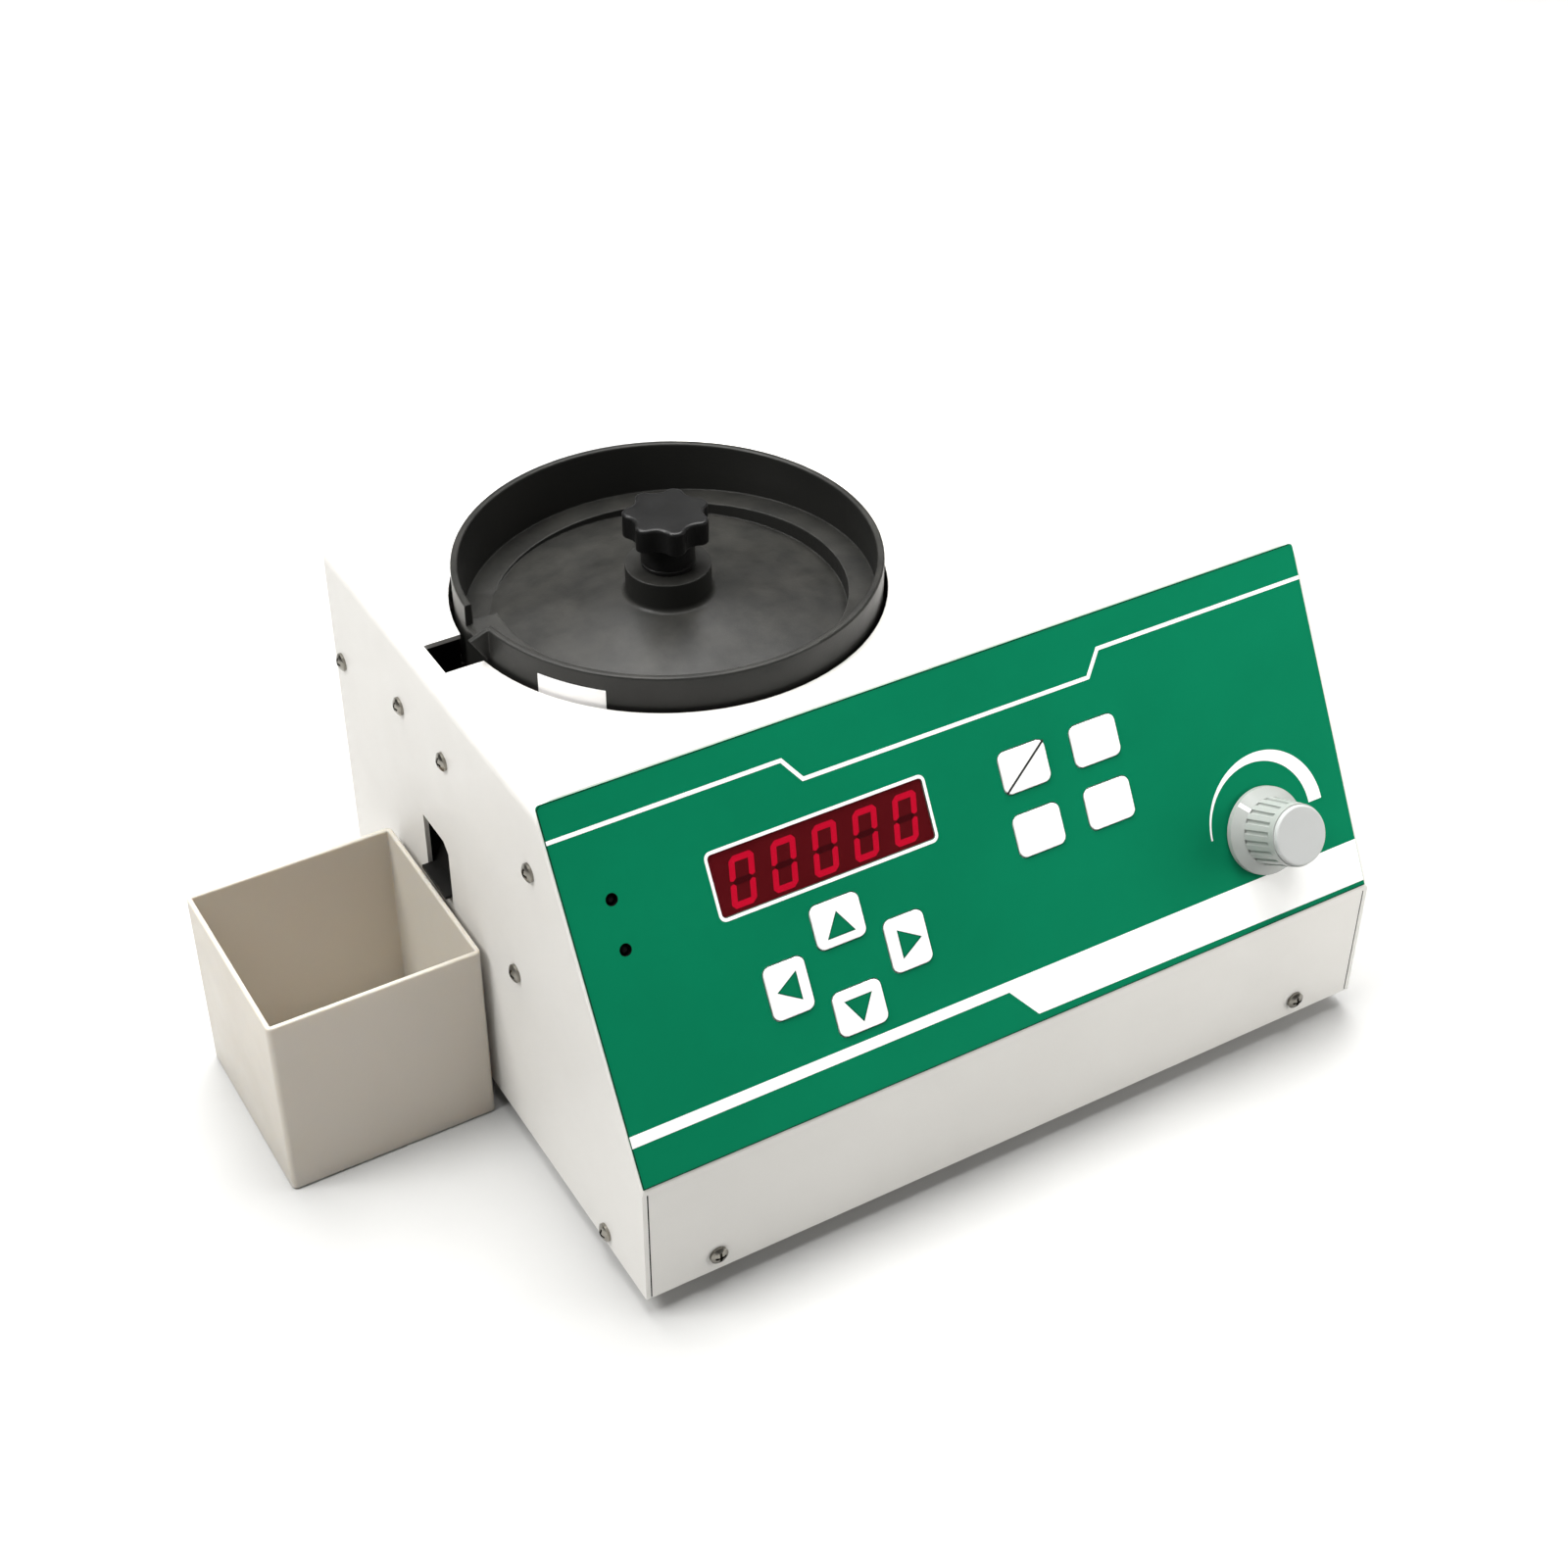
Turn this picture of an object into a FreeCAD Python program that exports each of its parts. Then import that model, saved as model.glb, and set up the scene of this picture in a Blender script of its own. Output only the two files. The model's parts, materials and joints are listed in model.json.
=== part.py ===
import FreeCAD, Part
import math
import os

# Seed counting machine: sheet-metal case, vibratory bowl, counting chute, control panel and bin.
# Millimetres. While building, x = 0 is the outside of the left wall, y = 0 the front strip and
# z = 0 the table. The last step moves everything to the middle of the whole footprint.

# Case
body_width = 260.0
body_depth = 203.0
cover_height = 143.0
foot_height = 7.0
strip_height = 44.5
slant_run = 56.5
sheet = 1.5
top_bend_radius = 6.0
edge_radius = 1.0
sheet_gap = 0.3
seam_width = 0.45
flange_height = 12.0
rear_inset = 1.0
rear_flange_depth = 14.0
rear_flange_margin = 10.0

# Feet
foot_inset_x = 18.0
foot_inset_y = 22.0
foot_top_radius = 9.0
foot_bottom_radius = 7.5
foot_recess_radius = 4.4
foot_recess_depth = 3.6
foot_screw_past = 3.4

# Screws
screw_radius = 1.45
screw_hole_radius = 1.7
screw_head_radius = 2.9
screw_head_height = 2.0
screw_head_rim = 0.9
screw_length = 7.0
recess_width = 0.8
recess_depth = 1.2
recess_reach = 1.8
strip_screw_inset = 23.6
strip_screw_height = 6.2
wall_screw_front_y = 24.7
wall_screw_rear_margin = 25.0
wall_screw_height = 5.0
rear_screw_edge = 6.0
rear_screw_height = 102.7

# Panel overlay and display
overlay_thickness = 0.5
overlay_left_margin = 0.6
overlay_right_margin = 1.6
overlay_low_margin = 0.9
overlay_high_margin = 0.9
overlay_corner_radius = 1.2
display_x = 79.5
display_v = 74.4
window_width = 70.2
window_height = 18.4
window_corner_radius = 1.2
window_ledge = 0.7
window_gap = 0.1
digit_count = 5
digit_pitch = 13.4
digit_module_width = 13.0
digit_module_height = 19.0
digit_face_depth = 2.0
indicator_x = 14.45
indicator_v = (66.9, 81.5)
indicator_radius = 1.7
indicator_gap = 0.15
indicator_depth = 0.1

# Keys
cursor_x = 77.9
cursor_v = 39.5
cursor_step_x = 19.9
cursor_step_v = 13.2
cursor_long_side = 16.0
cursor_short_side = 13.2
function_share = 0.4205
function_v = 56.3
function_step_x = 25.4
function_step_v = 19.5
function_width = 16.2
function_height = 12.8
key_corner_radius = 2.4
key_rise = 0.5
key_travel = 0.4
key_gap = 0.35
key_flange = 1.0
key_stem_radius = 1.75
key_edge_radius = 0.3

# Control board behind the panel
board_thickness = 1.6
control_board_depth = 12.0
control_board_left = 6.0
control_board_past_keys = 21.7
control_board_v = (10.0, 100.0)
standoff_radius = 2.6
standoff_inset = 5.0
switch_size = 6.2
switch_height = 3.5
bracket_screws = ((61.3, 115.7), (76.6, 66.1))
bracket_flange_width = 12.0
bracket_low_v = 30.0
bracket_high_v = 97.0
bracket_margin = 6.5

# Vibration knob and its potentiometer
knob_right_inset = 34.8
knob_v = 30.4
knob_gap = 0.6
knob_height = 18.6
skirt_radius = 13.8
skirt_edge = 1.8
skirt_rise = 4.2
grip_base_radius = 10.6
grip_top_radius = 9.7
flute_count = 20
flute_radius = 0.75
flute_top_margin = 3.6
knob_cap_radius = 9.3
knob_cap_thickness = 1.4
knob_hollow_radius = 8.0
knob_hollow_height = 3.6
shaft_radius = 3.0
shaft_fit = 0.05
shaft_reach = 14.0
pot_radius = 8.5
pot_depth = 10.0
bush_radius = 4.5
bush_reach = 3.4
nut_radius = 6.4
nut_height = 2.2
nut_sides = 6

# Bowl
bowl_left_margin = 17.7
bowl_y = 131.7
bowl_radius = 64.4
bowl_wall = 2.2
bowl_hole_gap = 1.35
rim_height = 10.8
rim_radius = 0.6
floor_drop = 9.3
floor_crown = 7.2
floor_thickness = 2.4
skirt_drop = 12.0
hub_radius = 13.0
hub_height = 7.2
hub_foot_radius = 1.5
track_inner_radius = 54.0
track_exit_height = 3.6
track_start_angle = 162.5
track_overrun = 2.0
track_step = 0.4
track_facet = 4.0
exit_start_angle = 176.3
exit_end_angle = 188.0
spout_reach = 5.0
spout_wall = 1.6
spout_rim_drop = 0.3
spout_tip_drop = 2.2
spout_low_lift = 0.6
label_angle = -143.5
label_width = 21.4
label_height = 9.4
label_top = 5.4
label_thickness = 0.2

# Clamp knob on the bowl
star_radius = 13.2
star_height = 7.6
star_lobes = 7
star_lobe_radius = 3.0
star_notch_depth = 2.4
star_top = 25.0
star_edge_radius = 0.8
star_turn = -1.5
neck_radius = 8.2
washer_thickness = 1.2
clamp_gap = 0.3
stud_radius = 3.0
stud_fit = 0.06
stud_engagement = 10.0
stud_end_gap = 2.0

# Bowl drive
isolator_height = 12.0
isolator_radius = 8.0
isolator_circle = 36.0
weight_radius = 48.0
weight_height = 26.0
core_width = 44.0
core_depth = 26.0
core_height = 40.0
core_limb = 9.0
air_gap = 1.2
armature_height = 10.0
plate_radius = 46.0
plate_height = 8.0
seat_radius = 16.0
boss_radius = 16.0
boss_drop = 14.0
spring_count = 3
spring_circle = 36.0
spring_width = 18.0
spring_thickness = 1.2
spring_tilt = 20.0
spring_play = 0.65
clamp_block_height = 12.0
clamp_block_depth = 9.0
coil_wall = 6.5
coil_gap = 0.3

# Drop slot, chute and counting sensor
slot_low_x = 5.0
slot_low_y = 122.5
slot_high_y = 138.0
chute_wall = 1.2
chute_top_gap = 0.5
chute_margin = 1.0
chute_ear_height = 12.0
chute_ear_reach = 6.0
chute_screws = ((118.5, 115.8), (149.6, 115.8))
window_low_y = 122.0
window_high_y = 140.0
window_low_z = 60.5
window_high_z = 81.0
window_chamfer = 3.0
lip_reach = 2.2
chute_slope_rise = 34.0
sensor_height = 100.0
sensor_size = 12.0
sensor_depth = 8.0
sensor_eye_radius = 2.0

# Main board and transformer on the base
main_board_left = 142.0
main_board_right_margin = 14.0
main_board_y = (22.0, 104.0)
main_board_lift = 8.0
capacitor_radius = 8.0
capacitor_height = 24.0
capacitor_inset = 26.0
capacitor_y = 60.0
small_capacitor_radius = 5.0
small_capacitor_height = 16.0
small_capacitor_places = ((30.0, 66.0), (18.0, 66.0))
heat_sink_size = (14.0, 30.0, 22.0)
heat_sink_inset = 20.0
heat_sink_y = 14.0
chip_size = (32.0, 14.0, 4.0)
chip_place = (16.0, 24.0)
header_depth = 6.0
header_width = 12.0
header_height = 9.0
ribbon_header_place = (14.0, 2.0)
coil_header_place = (3.0, 48.0)
sensor_header_place = (3.0, 28.0)
supply_header_inset = 38.0
supply_header_y = 74.0
transformer_right_inset = 55.0
transformer_rear_inset = 53.0
transformer_width = 60.0
transformer_depth = 24.0
transformer_height = 50.0
transformer_limb = 10.0
winding_reach = 9.0
winding_gap = 0.3

# Rear fittings
inlet_right_inset = 46.0
fuse_spacing = 38.0
rocker_spacing = 30.0
fitting_height = 88.0
inlet_flange_width = 50.0
inlet_flange_height = 24.0
inlet_flange_thickness = 3.0
inlet_body_width = 29.0
inlet_body_height = 21.0
inlet_body_depth = 20.0
inlet_socket_width = 24.6
inlet_socket_height = 16.6
inlet_socket_depth = 16.0
inlet_screw_spacing = 40.0
inlet_corner_radius = 3.0
pin_width = 4.0
pin_thickness = 2.0
pin_length = 14.0
pin_spread = 7.0
pin_drop = 2.5
fuse_body_radius = 6.2
fuse_body_depth = 32.0
fuse_flange_radius = 8.5
fuse_flange_thickness = 2.5
fuse_cap_radius = 6.4
fuse_cap_height = 7.0
fuse_slot_width = 1.4
fuse_slot_depth = 1.6
switch_bezel_width = 15.0
switch_bezel_height = 21.0
switch_bezel_thickness = 2.0
switch_body_width = 12.6
switch_body_height = 18.8
switch_body_depth = 18.0
switch_well_width = 10.8
switch_well_height = 16.4
switch_well_depth = 9.0
rocker_gap = 0.4
rocker_end_gap = 1.0
rocker_pivot_drop = 3.6
rocker_pin_radius = 1.1
rocker_pin_reach = 0.7
rocker_pin_fit = 0.05
rocker_tilt = 10.0
rocker_rise = 2.6
rocker_depth = 5.0
vent_count = 9
vent_pitch = 9.0
vent_length = 28.0
vent_width = 3.0
vent_x = 60.0

# Leads inside the case
lead_radius = 1.0
sensor_lead_radius = 1.5
lead_spacing = 4.0
lead_bend = 6.0
sensor_lead_lift = 12.0
ribbon_width = 25.0
ribbon_thickness = 1.0

# Collection bin
bin_width = 67.6
bin_depth = 68.0
bin_height = 67.0
bin_wall = 1.6
bin_floor = 2.0
bin_corner_radius = 1.8
bin_gap = 2.4
bin_front_y = 96.4

# Levels and lines worked out from the sizes above
top_z = foot_height + cover_height
strip_top_z = foot_height + strip_height
slant_rise = cover_height - strip_height
slant_angle = math.degrees(math.atan2(slant_rise, slant_run))
slant_length = math.hypot(slant_rise, slant_run)
slant_sin = slant_rise / slant_length
slant_cos = slant_run / slant_length
base_floor_z = foot_height + sheet
base_inset = sheet + sheet_gap
rear_face_y = body_depth - rear_inset
rear_inner_y = rear_face_y - sheet
floor_edge_z = top_z - floor_drop
floor_hub_z = floor_edge_z + floor_crown
rim_z = top_z + rim_height
hub_top_z = top_z + hub_height
boss_low_z = top_z - boss_drop
bowl_x = bowl_left_margin + bowl_radius
bowl_inner_radius = bowl_radius - bowl_wall
bowl_hole_radius = bowl_radius + bowl_hole_gap
track_exit_z = top_z + track_exit_height
weight_low_z = base_floor_z + isolator_height
weight_top_z = weight_low_z + weight_height
core_top_z = weight_top_z + core_height
armature_low_z = core_top_z + air_gap
plate_low_z = armature_low_z + armature_height
plate_top_z = plate_low_z + plate_height
washer_low_z = hub_top_z + clamp_gap
neck_low_z = washer_low_z + washer_thickness
star_top_z = top_z + star_top
star_low_z = star_top_z - star_height
key_back = -sheet - key_gap
board_face = -control_board_depth
switch_top = board_face + switch_height
overlay_top = overlay_thickness
knob_x = body_width - knob_right_inset
display_right_x = display_x + window_width / 2
function_middle_x = display_right_x + function_share * (knob_x - display_right_x)
function_x = function_middle_x - function_step_x / 2
control_board_x = (control_board_left, function_x + function_step_x + control_board_past_keys)
main_board_x = (main_board_left, body_width - main_board_right_margin)
main_board_width = main_board_x[1] - main_board_x[0]
transformer_x = body_width - transformer_right_inset
transformer_y = body_depth - transformer_rear_inset
inlet_x = body_width - inlet_right_inset
fuse_x = inlet_x - fuse_spacing
rocker_x = fuse_x - rocker_spacing
rocker_pivot = switch_bezel_thickness - rocker_pivot_drop
fitting_z = foot_height + fitting_height
window_floor_z = foot_height + window_low_z
window_roof_z = foot_height + window_high_z

V = FreeCAD.Vector
X_AXIS = V(1, 0, 0)
Y_AXIS = V(0, 1, 0)
Z_AXIS = V(0, 0, 1)
past = 5.0
hair = 0.001


# Shape helpers
def block(low, high):
    return Part.makeBox(high[0] - low[0], high[1] - low[1], high[2] - low[2], V(*low))


def prism(points, direction):
    outline = [V(*point) for point in points]
    return Part.Face(Part.makePolygon(outline + outline[:1])).extrude(direction)


def rounded_plate(center, size, radius, low, high):
    """Plate in the local XY plane with rounded corners."""
    corner = V(center[0] - size[0] / 2, center[1] - size[1] / 2, low)
    plate = Part.makeBox(size[0], size[1], high - low, corner)
    return plate.makeFillet(radius, upright_edges(plate))


def upright_edges(shape):
    picked = []
    for edge in shape.Edges:
        if len(edge.Vertexes) == 2:
            first, last = edge.Vertexes[0].Point, edge.Vertexes[1].Point
            if math.hypot(first.x - last.x, first.y - last.y) < hair:
                picked.append(edge)
    return picked


def edges_at_height(shape, height):
    """Edges that lie wholly at one z."""
    picked = []
    for edge in shape.Edges:
        box = edge.BoundBox
        if abs(box.ZMin - height) < hair and abs(box.ZMax - height) < hair:
            picked.append(edge)
    return picked


def turned(profile):
    """Solid of revolution about Z from a closed (radius, z) outline."""
    outline = [V(radius, 0, z) for radius, z in profile]
    face = Part.Face(Part.makePolygon(outline + outline[:1]))
    return face.revolve(V(0, 0, 0), Z_AXIS, 360)


def aimed(shape, point, axis):
    """Copy of a shape made along Z, stood at a point with Z along the axis."""
    moved = shape.copy()
    moved.Placement = FreeCAD.Placement(point, FreeCAD.Rotation(Z_AXIS, axis))
    return moved


def shifted(shape, x=0.0, y=0.0, z=0.0):
    moved = shape.copy()
    moved.translate(V(x, y, z))
    return moved


def turned_about_bowl(shape, angle):
    moved = shape.copy()
    moved.rotate(V(bowl_x, bowl_y, 0), Z_AXIS, angle)
    return moved


def on_panel(shape):
    """Put a shape made in panel axes (x, up the slant, outwards) on the slanted front."""
    moved = shape.copy()
    turn = FreeCAD.Rotation(X_AXIS, slant_angle)
    moved.Placement = FreeCAD.Placement(V(0, 0, strip_top_z), turn).multiply(moved.Placement)
    return moved


def panel_point(v, h):
    """y and z of a point v up the slant and h out of it."""
    return v * slant_cos - h * slant_sin, strip_top_z + v * slant_sin + h * slant_cos


def fused(shapes):
    solid = shapes[0].multiFuse(shapes[1:])
    return solid.removeSplitter()


def rod(radius, low, high, x, y):
    return Part.makeCylinder(radius, high - low, V(x, y, low), Z_AXIS)


# Screws
def pan_screw(length):
    """Cross-recess pan head screw, head on +Z, shank down -Z."""
    dome = screw_head_height - screw_head_rim
    sphere = (screw_head_radius ** 2 + dome ** 2) / (2 * dome)
    half_turn = math.asin(screw_head_radius / sphere) / 2
    middle = V(sphere * math.sin(half_turn), 0, screw_head_height - sphere * (1 - math.cos(half_turn)))
    crown = Part.Arc(V(screw_head_radius, 0, screw_head_rim), middle, V(0, 0, screw_head_height)).toShape()
    lines = Part.makePolygon([V(0, 0, screw_head_height), V(0, 0, -length), V(screw_radius, 0, -length),
                              V(screw_radius, 0, 0), V(screw_head_radius, 0, 0),
                              V(screw_head_radius, 0, screw_head_rim)])
    face = Part.Face(Part.Wire(lines.Edges + [crown]))
    screw = face.revolve(V(0, 0, 0), Z_AXIS, 360)
    low, high = screw_head_height - recess_depth, screw_head_height + past
    half = recess_width / 2
    across = block((-recess_reach, -half, low), (recess_reach, half, high))
    upright = block((-half, -recess_reach, low), (half, recess_reach, high))
    return screw.cut(across).cut(upright)


def left_wall_screw_points():
    points = [(wall_screw_front_y, wall_screw_height)]
    points.append((body_depth - wall_screw_rear_margin, wall_screw_height))
    points.append((body_depth - rear_screw_edge, rear_screw_height))
    points.extend(bracket_screws)
    points.extend(chute_screws)
    return [V(0, y, foot_height + z) for y, z in points]


def right_wall_screw_points():
    points = [(wall_screw_front_y, wall_screw_height)]
    points.append((body_depth - wall_screw_rear_margin, wall_screw_height))
    points.append((body_depth - rear_screw_edge, rear_screw_height))
    return [V(body_width, y, foot_height + z) for y, z in points]


def strip_screw_points(y):
    z = foot_height + strip_screw_height
    return [V(strip_screw_inset, y, z), V(body_width - strip_screw_inset, y, z)]


def case_screw_places():
    """Each case screw's seat point and outward axis."""
    places = [(point, -X_AXIS) for point in left_wall_screw_points()]
    places += [(point, X_AXIS) for point in right_wall_screw_points()]
    places += [(point, -Y_AXIS) for point in strip_screw_points(0)]
    places += [(point, Y_AXIS) for point in strip_screw_points(rear_face_y)]
    return places


def drill_screw_holes(solid):
    """Clearance holes for every case screw that reaches the solid."""
    for point, axis in case_screw_places():
        start = point + axis * past
        solid = solid.cut(Part.makeCylinder(screw_hole_radius, 2 * past, start, -axis))
    return solid


def case_screws():
    screw = pan_screw(screw_length)
    screws = [aimed(screw, point, axis) for point, axis in case_screw_places()]
    return Part.Compound(screws + inlet_screws())


# Case
def cover_form(inset, overrun):
    """Outer form of the cover moved inwards by inset; open ends run past by overrun."""
    low = foot_height - overrun
    back = body_depth + overrun
    slope_start = strip_top_z + inset * (slant_sin - 1) / slant_cos
    slope_end = (slant_cos * (slant_rise - inset) + inset) / slant_sin
    side = [(0, inset, low), (0, inset, slope_start), (0, slope_end, top_z - inset),
            (0, back, top_z - inset), (0, back, low)]
    wedge = prism(side, V(body_width, 0, 0))
    width = body_width - 2 * inset
    hood = block((inset, -past, low - past), (inset + width, back + past, top_z - inset))
    ridges = []
    for edge in edges_at_height(hood, top_z - inset):
        if edge.BoundBox.YLength > edge.BoundBox.XLength:
            ridges.append(edge)
    hood = hood.makeFillet(top_bend_radius - inset, ridges)
    return wedge.common(hood)


def soften_front(form):
    """Round the edge that runs round the slanted face."""
    picked = []
    for edge in form.Edges:
        middle = edge.CenterOfMass
        y, z = panel_point(0, 0)
        off_slant = (middle.z - z) * slant_cos - (middle.y - y) * slant_sin
        if abs(off_slant) < hair and not (middle.z < z - hair):
            picked.append(edge)
    return form.makeFillet(edge_radius, picked)


def key_places():
    """Name, centre and size of each key, in panel axes."""
    wide = (cursor_long_side, cursor_short_side)
    tall = (cursor_short_side, cursor_long_side)
    places = [("key_up", (cursor_x, cursor_v + cursor_step_v), wide),
              ("key_down", (cursor_x, cursor_v - cursor_step_v), wide),
              ("key_left", (cursor_x - cursor_step_x, cursor_v), tall),
              ("key_right", (cursor_x + cursor_step_x, cursor_v), tall)]
    size = (function_width, function_height)
    for row, word in ((1, "upper"), (0, "lower")):
        for column, side in ((0, "left"), (1, "right")):
            center = (function_x + column * function_step_x, function_v + row * function_step_v)
            places.append((f"key_{word}_{side}", center, size))
    return places


def panel_openings(low, high, window_size):
    """Solids that cut the display, indicator, key and shaft openings through a panel layer."""
    cutters = [rounded_plate((display_x, display_v), window_size, window_corner_radius, low, high)]
    for v in indicator_v:
        cutters.append(rod(indicator_radius + indicator_gap, low, high, indicator_x, v))
    for name, center, size in key_places():
        hole = (size[0] + 2 * key_gap, size[1] + 2 * key_gap)
        cutters.append(rounded_plate(center, hole, key_corner_radius + key_gap, low, high))
    cutters.append(rod(bush_radius + shaft_fit, low, high, knob_x, knob_v))
    return cutters


def top_opening():
    """Round bowl hole and the drop slot that joins it."""
    low, high = top_z - sheet - past, top_z + past
    hole = rod(bowl_hole_radius, low, high, bowl_x, bowl_y)
    slot = block((slot_low_x, slot_low_y, low), (bowl_x - bowl_radius + bowl_wall, slot_high_y, high))
    return hole.fuse(slot)


def discharge_window(low_x, high_x):
    outline = [(low_x, window_low_y, window_floor_z), (low_x, window_high_y, window_floor_z),
               (low_x, window_high_y, window_roof_z), (low_x, window_low_y + window_chamfer, window_roof_z),
               (low_x, window_low_y, window_roof_z - window_chamfer)]
    return prism(outline, V(high_x - low_x, 0, 0))


def housing_cover():
    outer = soften_front(cover_form(0.0, 0.0))
    cover = outer.cut(cover_form(sheet, past))
    ledge = 2 * window_ledge
    display_hole = (window_width - ledge, window_height - ledge)
    for cutter in panel_openings(-sheet - past, past, display_hole):
        cover = cover.cut(on_panel(cutter))
    cover = cover.cut(top_opening())
    cover = cover.cut(discharge_window(-past, sheet + past))
    for x in (sheet, body_width - sheet - seam_width):
        seam = block((x, -past, foot_height - past), (x + seam_width, sheet, strip_top_z - sheet))
        cover = cover.cut(seam)
    return drill_screw_holes(cover)


def base_plate():
    """Tray with an upright flange on all four sides."""
    low = (base_inset, base_inset, foot_height)
    high = (body_width - base_inset, rear_inner_y - sheet_gap, foot_height + flange_height)
    tray = block(low, high)
    inner_low = (low[0] + sheet, low[1] + sheet, base_floor_z)
    inner_high = (high[0] - sheet, high[1] - sheet, high[2] + past)
    tray = tray.cut(block(inner_low, inner_high))
    for x, y in foot_points():
        tray = tray.cut(rod(screw_hole_radius, foot_height - past, base_floor_z + past, x, y))
    return drill_screw_holes(tray)


def rear_panel():
    gap = base_inset
    width = body_width - 2 * gap
    low_x, high_x = gap, gap + width
    high_z = top_z - gap
    plate = block((low_x, rear_inner_y, foot_height), (high_x, rear_face_y, high_z))
    corners = []
    for edge in plate.Edges:
        box = edge.BoundBox
        if box.YLength > sheet / 2 and box.ZMin > high_z - hair:
            corners.append(edge)
    plate = plate.makeFillet(top_bend_radius, corners)
    flange_low = foot_height + flange_height + rear_flange_margin
    flange_high = top_z - top_bend_radius - rear_flange_margin
    flange_front = rear_face_y - rear_flange_depth
    shapes = [plate]
    for x in (low_x, high_x - sheet):
        shapes.append(block((x, flange_front, flange_low), (x + sheet, rear_inner_y, flange_high)))
    panel = fused(shapes)
    for cutter in rear_openings():
        panel = panel.cut(cutter)
    return drill_screw_holes(panel)


def rear_openings():
    """Cut-outs for the inlet, the fuse holder, the switch and the vent slots."""
    low, high = rear_inner_y - past, rear_face_y + past
    cutters = []
    for x, width, height in ((inlet_x, inlet_body_width, inlet_body_height),
                             (rocker_x, switch_body_width, switch_body_height)):
        half_w, half_h = width / 2 + sheet_gap, height / 2 + sheet_gap
        cutters.append(block((x - half_w, low, fitting_z - half_h), (x + half_w, high, fitting_z + half_h)))
    for x in inlet_screw_x():
        cutters.append(Part.makeCylinder(screw_hole_radius, high - low, V(x, low, fitting_z), Y_AXIS))
    fuse_hole = fuse_body_radius + sheet_gap
    cutters.append(Part.makeCylinder(fuse_hole, high - low, V(fuse_x, low, fitting_z), Y_AXIS))
    first = fitting_z - (vent_count - 1) / 2 * vent_pitch
    for index in range(vent_count):
        z = first + index * vent_pitch
        half_w, half_h = vent_length / 2, vent_width / 2
        cutters.append(block((vent_x - half_w, low, z - half_h), (vent_x + half_w, high, z + half_h)))
    return cutters


def foot_points():
    xs = (foot_inset_x, body_width - foot_inset_x)
    ys = (foot_inset_y, body_depth - foot_inset_y)
    return [(x, y) for x in xs for y in ys]


def rubber_feet():
    foot = turned([(screw_hole_radius, foot_recess_depth), (foot_recess_radius, foot_recess_depth),
                   (foot_recess_radius, 0), (foot_bottom_radius, 0), (foot_top_radius, foot_height),
                   (screw_hole_radius, foot_height)])
    return Part.Compound([shifted(foot, x, y) for x, y in foot_points()])


def foot_screws():
    screw = pan_screw(foot_height - foot_recess_depth + sheet + foot_screw_past)
    return Part.Compound([aimed(screw, V(x, y, foot_recess_depth), -Z_AXIS) for x, y in foot_points()])


# Front panel
def panel_overlay():
    plate = block((overlay_left_margin, overlay_low_margin, 0),
                  (body_width - overlay_right_margin, slant_length - overlay_high_margin, overlay_thickness))
    high_corners = [edge for edge in upright_edges(plate) if edge.CenterOfMass.y > slant_length / 2]
    plate = plate.makeFillet(overlay_corner_radius, high_corners)
    window_hole = (window_width + 2 * window_gap, window_height + 2 * window_gap)
    for cutter in panel_openings(-past, past, window_hole):
        plate = plate.cut(cutter)
    return on_panel(plate)


def display_window():
    size = (window_width, window_height)
    return on_panel(rounded_plate((display_x, display_v), size, window_corner_radius, 0, overlay_thickness))


def display_digits():
    half = (digit_count - 1) / 2
    modules = []
    for index in range(digit_count):
        x = display_x + (index - half) * digit_pitch
        low = (x - digit_module_width / 2, display_v - digit_module_height / 2, board_face)
        high = (x + digit_module_width / 2, display_v + digit_module_height / 2, -digit_face_depth)
        modules.append(on_panel(block(low, high)))
    return Part.Compound(modules)


def indicator_lights():
    lights = []
    for v in indicator_v:
        barrel_top = -indicator_depth - indicator_radius
        barrel = rod(indicator_radius, board_face, barrel_top, indicator_x, v)
        dome = Part.makeSphere(indicator_radius, V(indicator_x, v, barrel_top))
        lights.append(on_panel(fused([barrel, dome])))
    return Part.Compound(lights)


def key(center, size):
    """Key cap with its retaining flange and stem."""
    cap = rounded_plate(center, size, key_corner_radius, key_back, overlay_top + key_rise)
    cap = cap.makeFillet(key_edge_radius, edges_at_height(cap, overlay_top + key_rise))
    flange_size = (size[0] + 2 * (key_gap + key_flange), size[1] + 2 * (key_gap + key_flange))
    flange = rounded_plate(center, flange_size, key_corner_radius, key_back - key_flange, key_back)
    stem_low = switch_top + key_travel + key_gap
    stem = rod(key_stem_radius, stem_low, key_back - key_flange, *center)
    return on_panel(fused([cap, flange, stem]))


def key_switches():
    switches = []
    for name, center, size in key_places():
        body = rounded_plate(center, (switch_size, switch_size), edge_radius, board_face, switch_top)
        switches.append(on_panel(body))
    return Part.Compound(switches)


def standoff_points():
    xs = (control_board_x[0] + standoff_inset, control_board_x[1] - standoff_inset)
    vs = (control_board_v[0] + standoff_inset, control_board_v[1] - standoff_inset)
    return [(x, v) for x in xs for v in vs]


def control_board():
    board = block((control_board_x[0], control_board_v[0], board_face - board_thickness),
                  (control_board_x[1], control_board_v[1], board_face))
    return on_panel(board)


def control_standoffs():
    return [on_panel(rod(standoff_radius, board_face, -sheet, x, v)) for x, v in standoff_points()]


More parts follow.
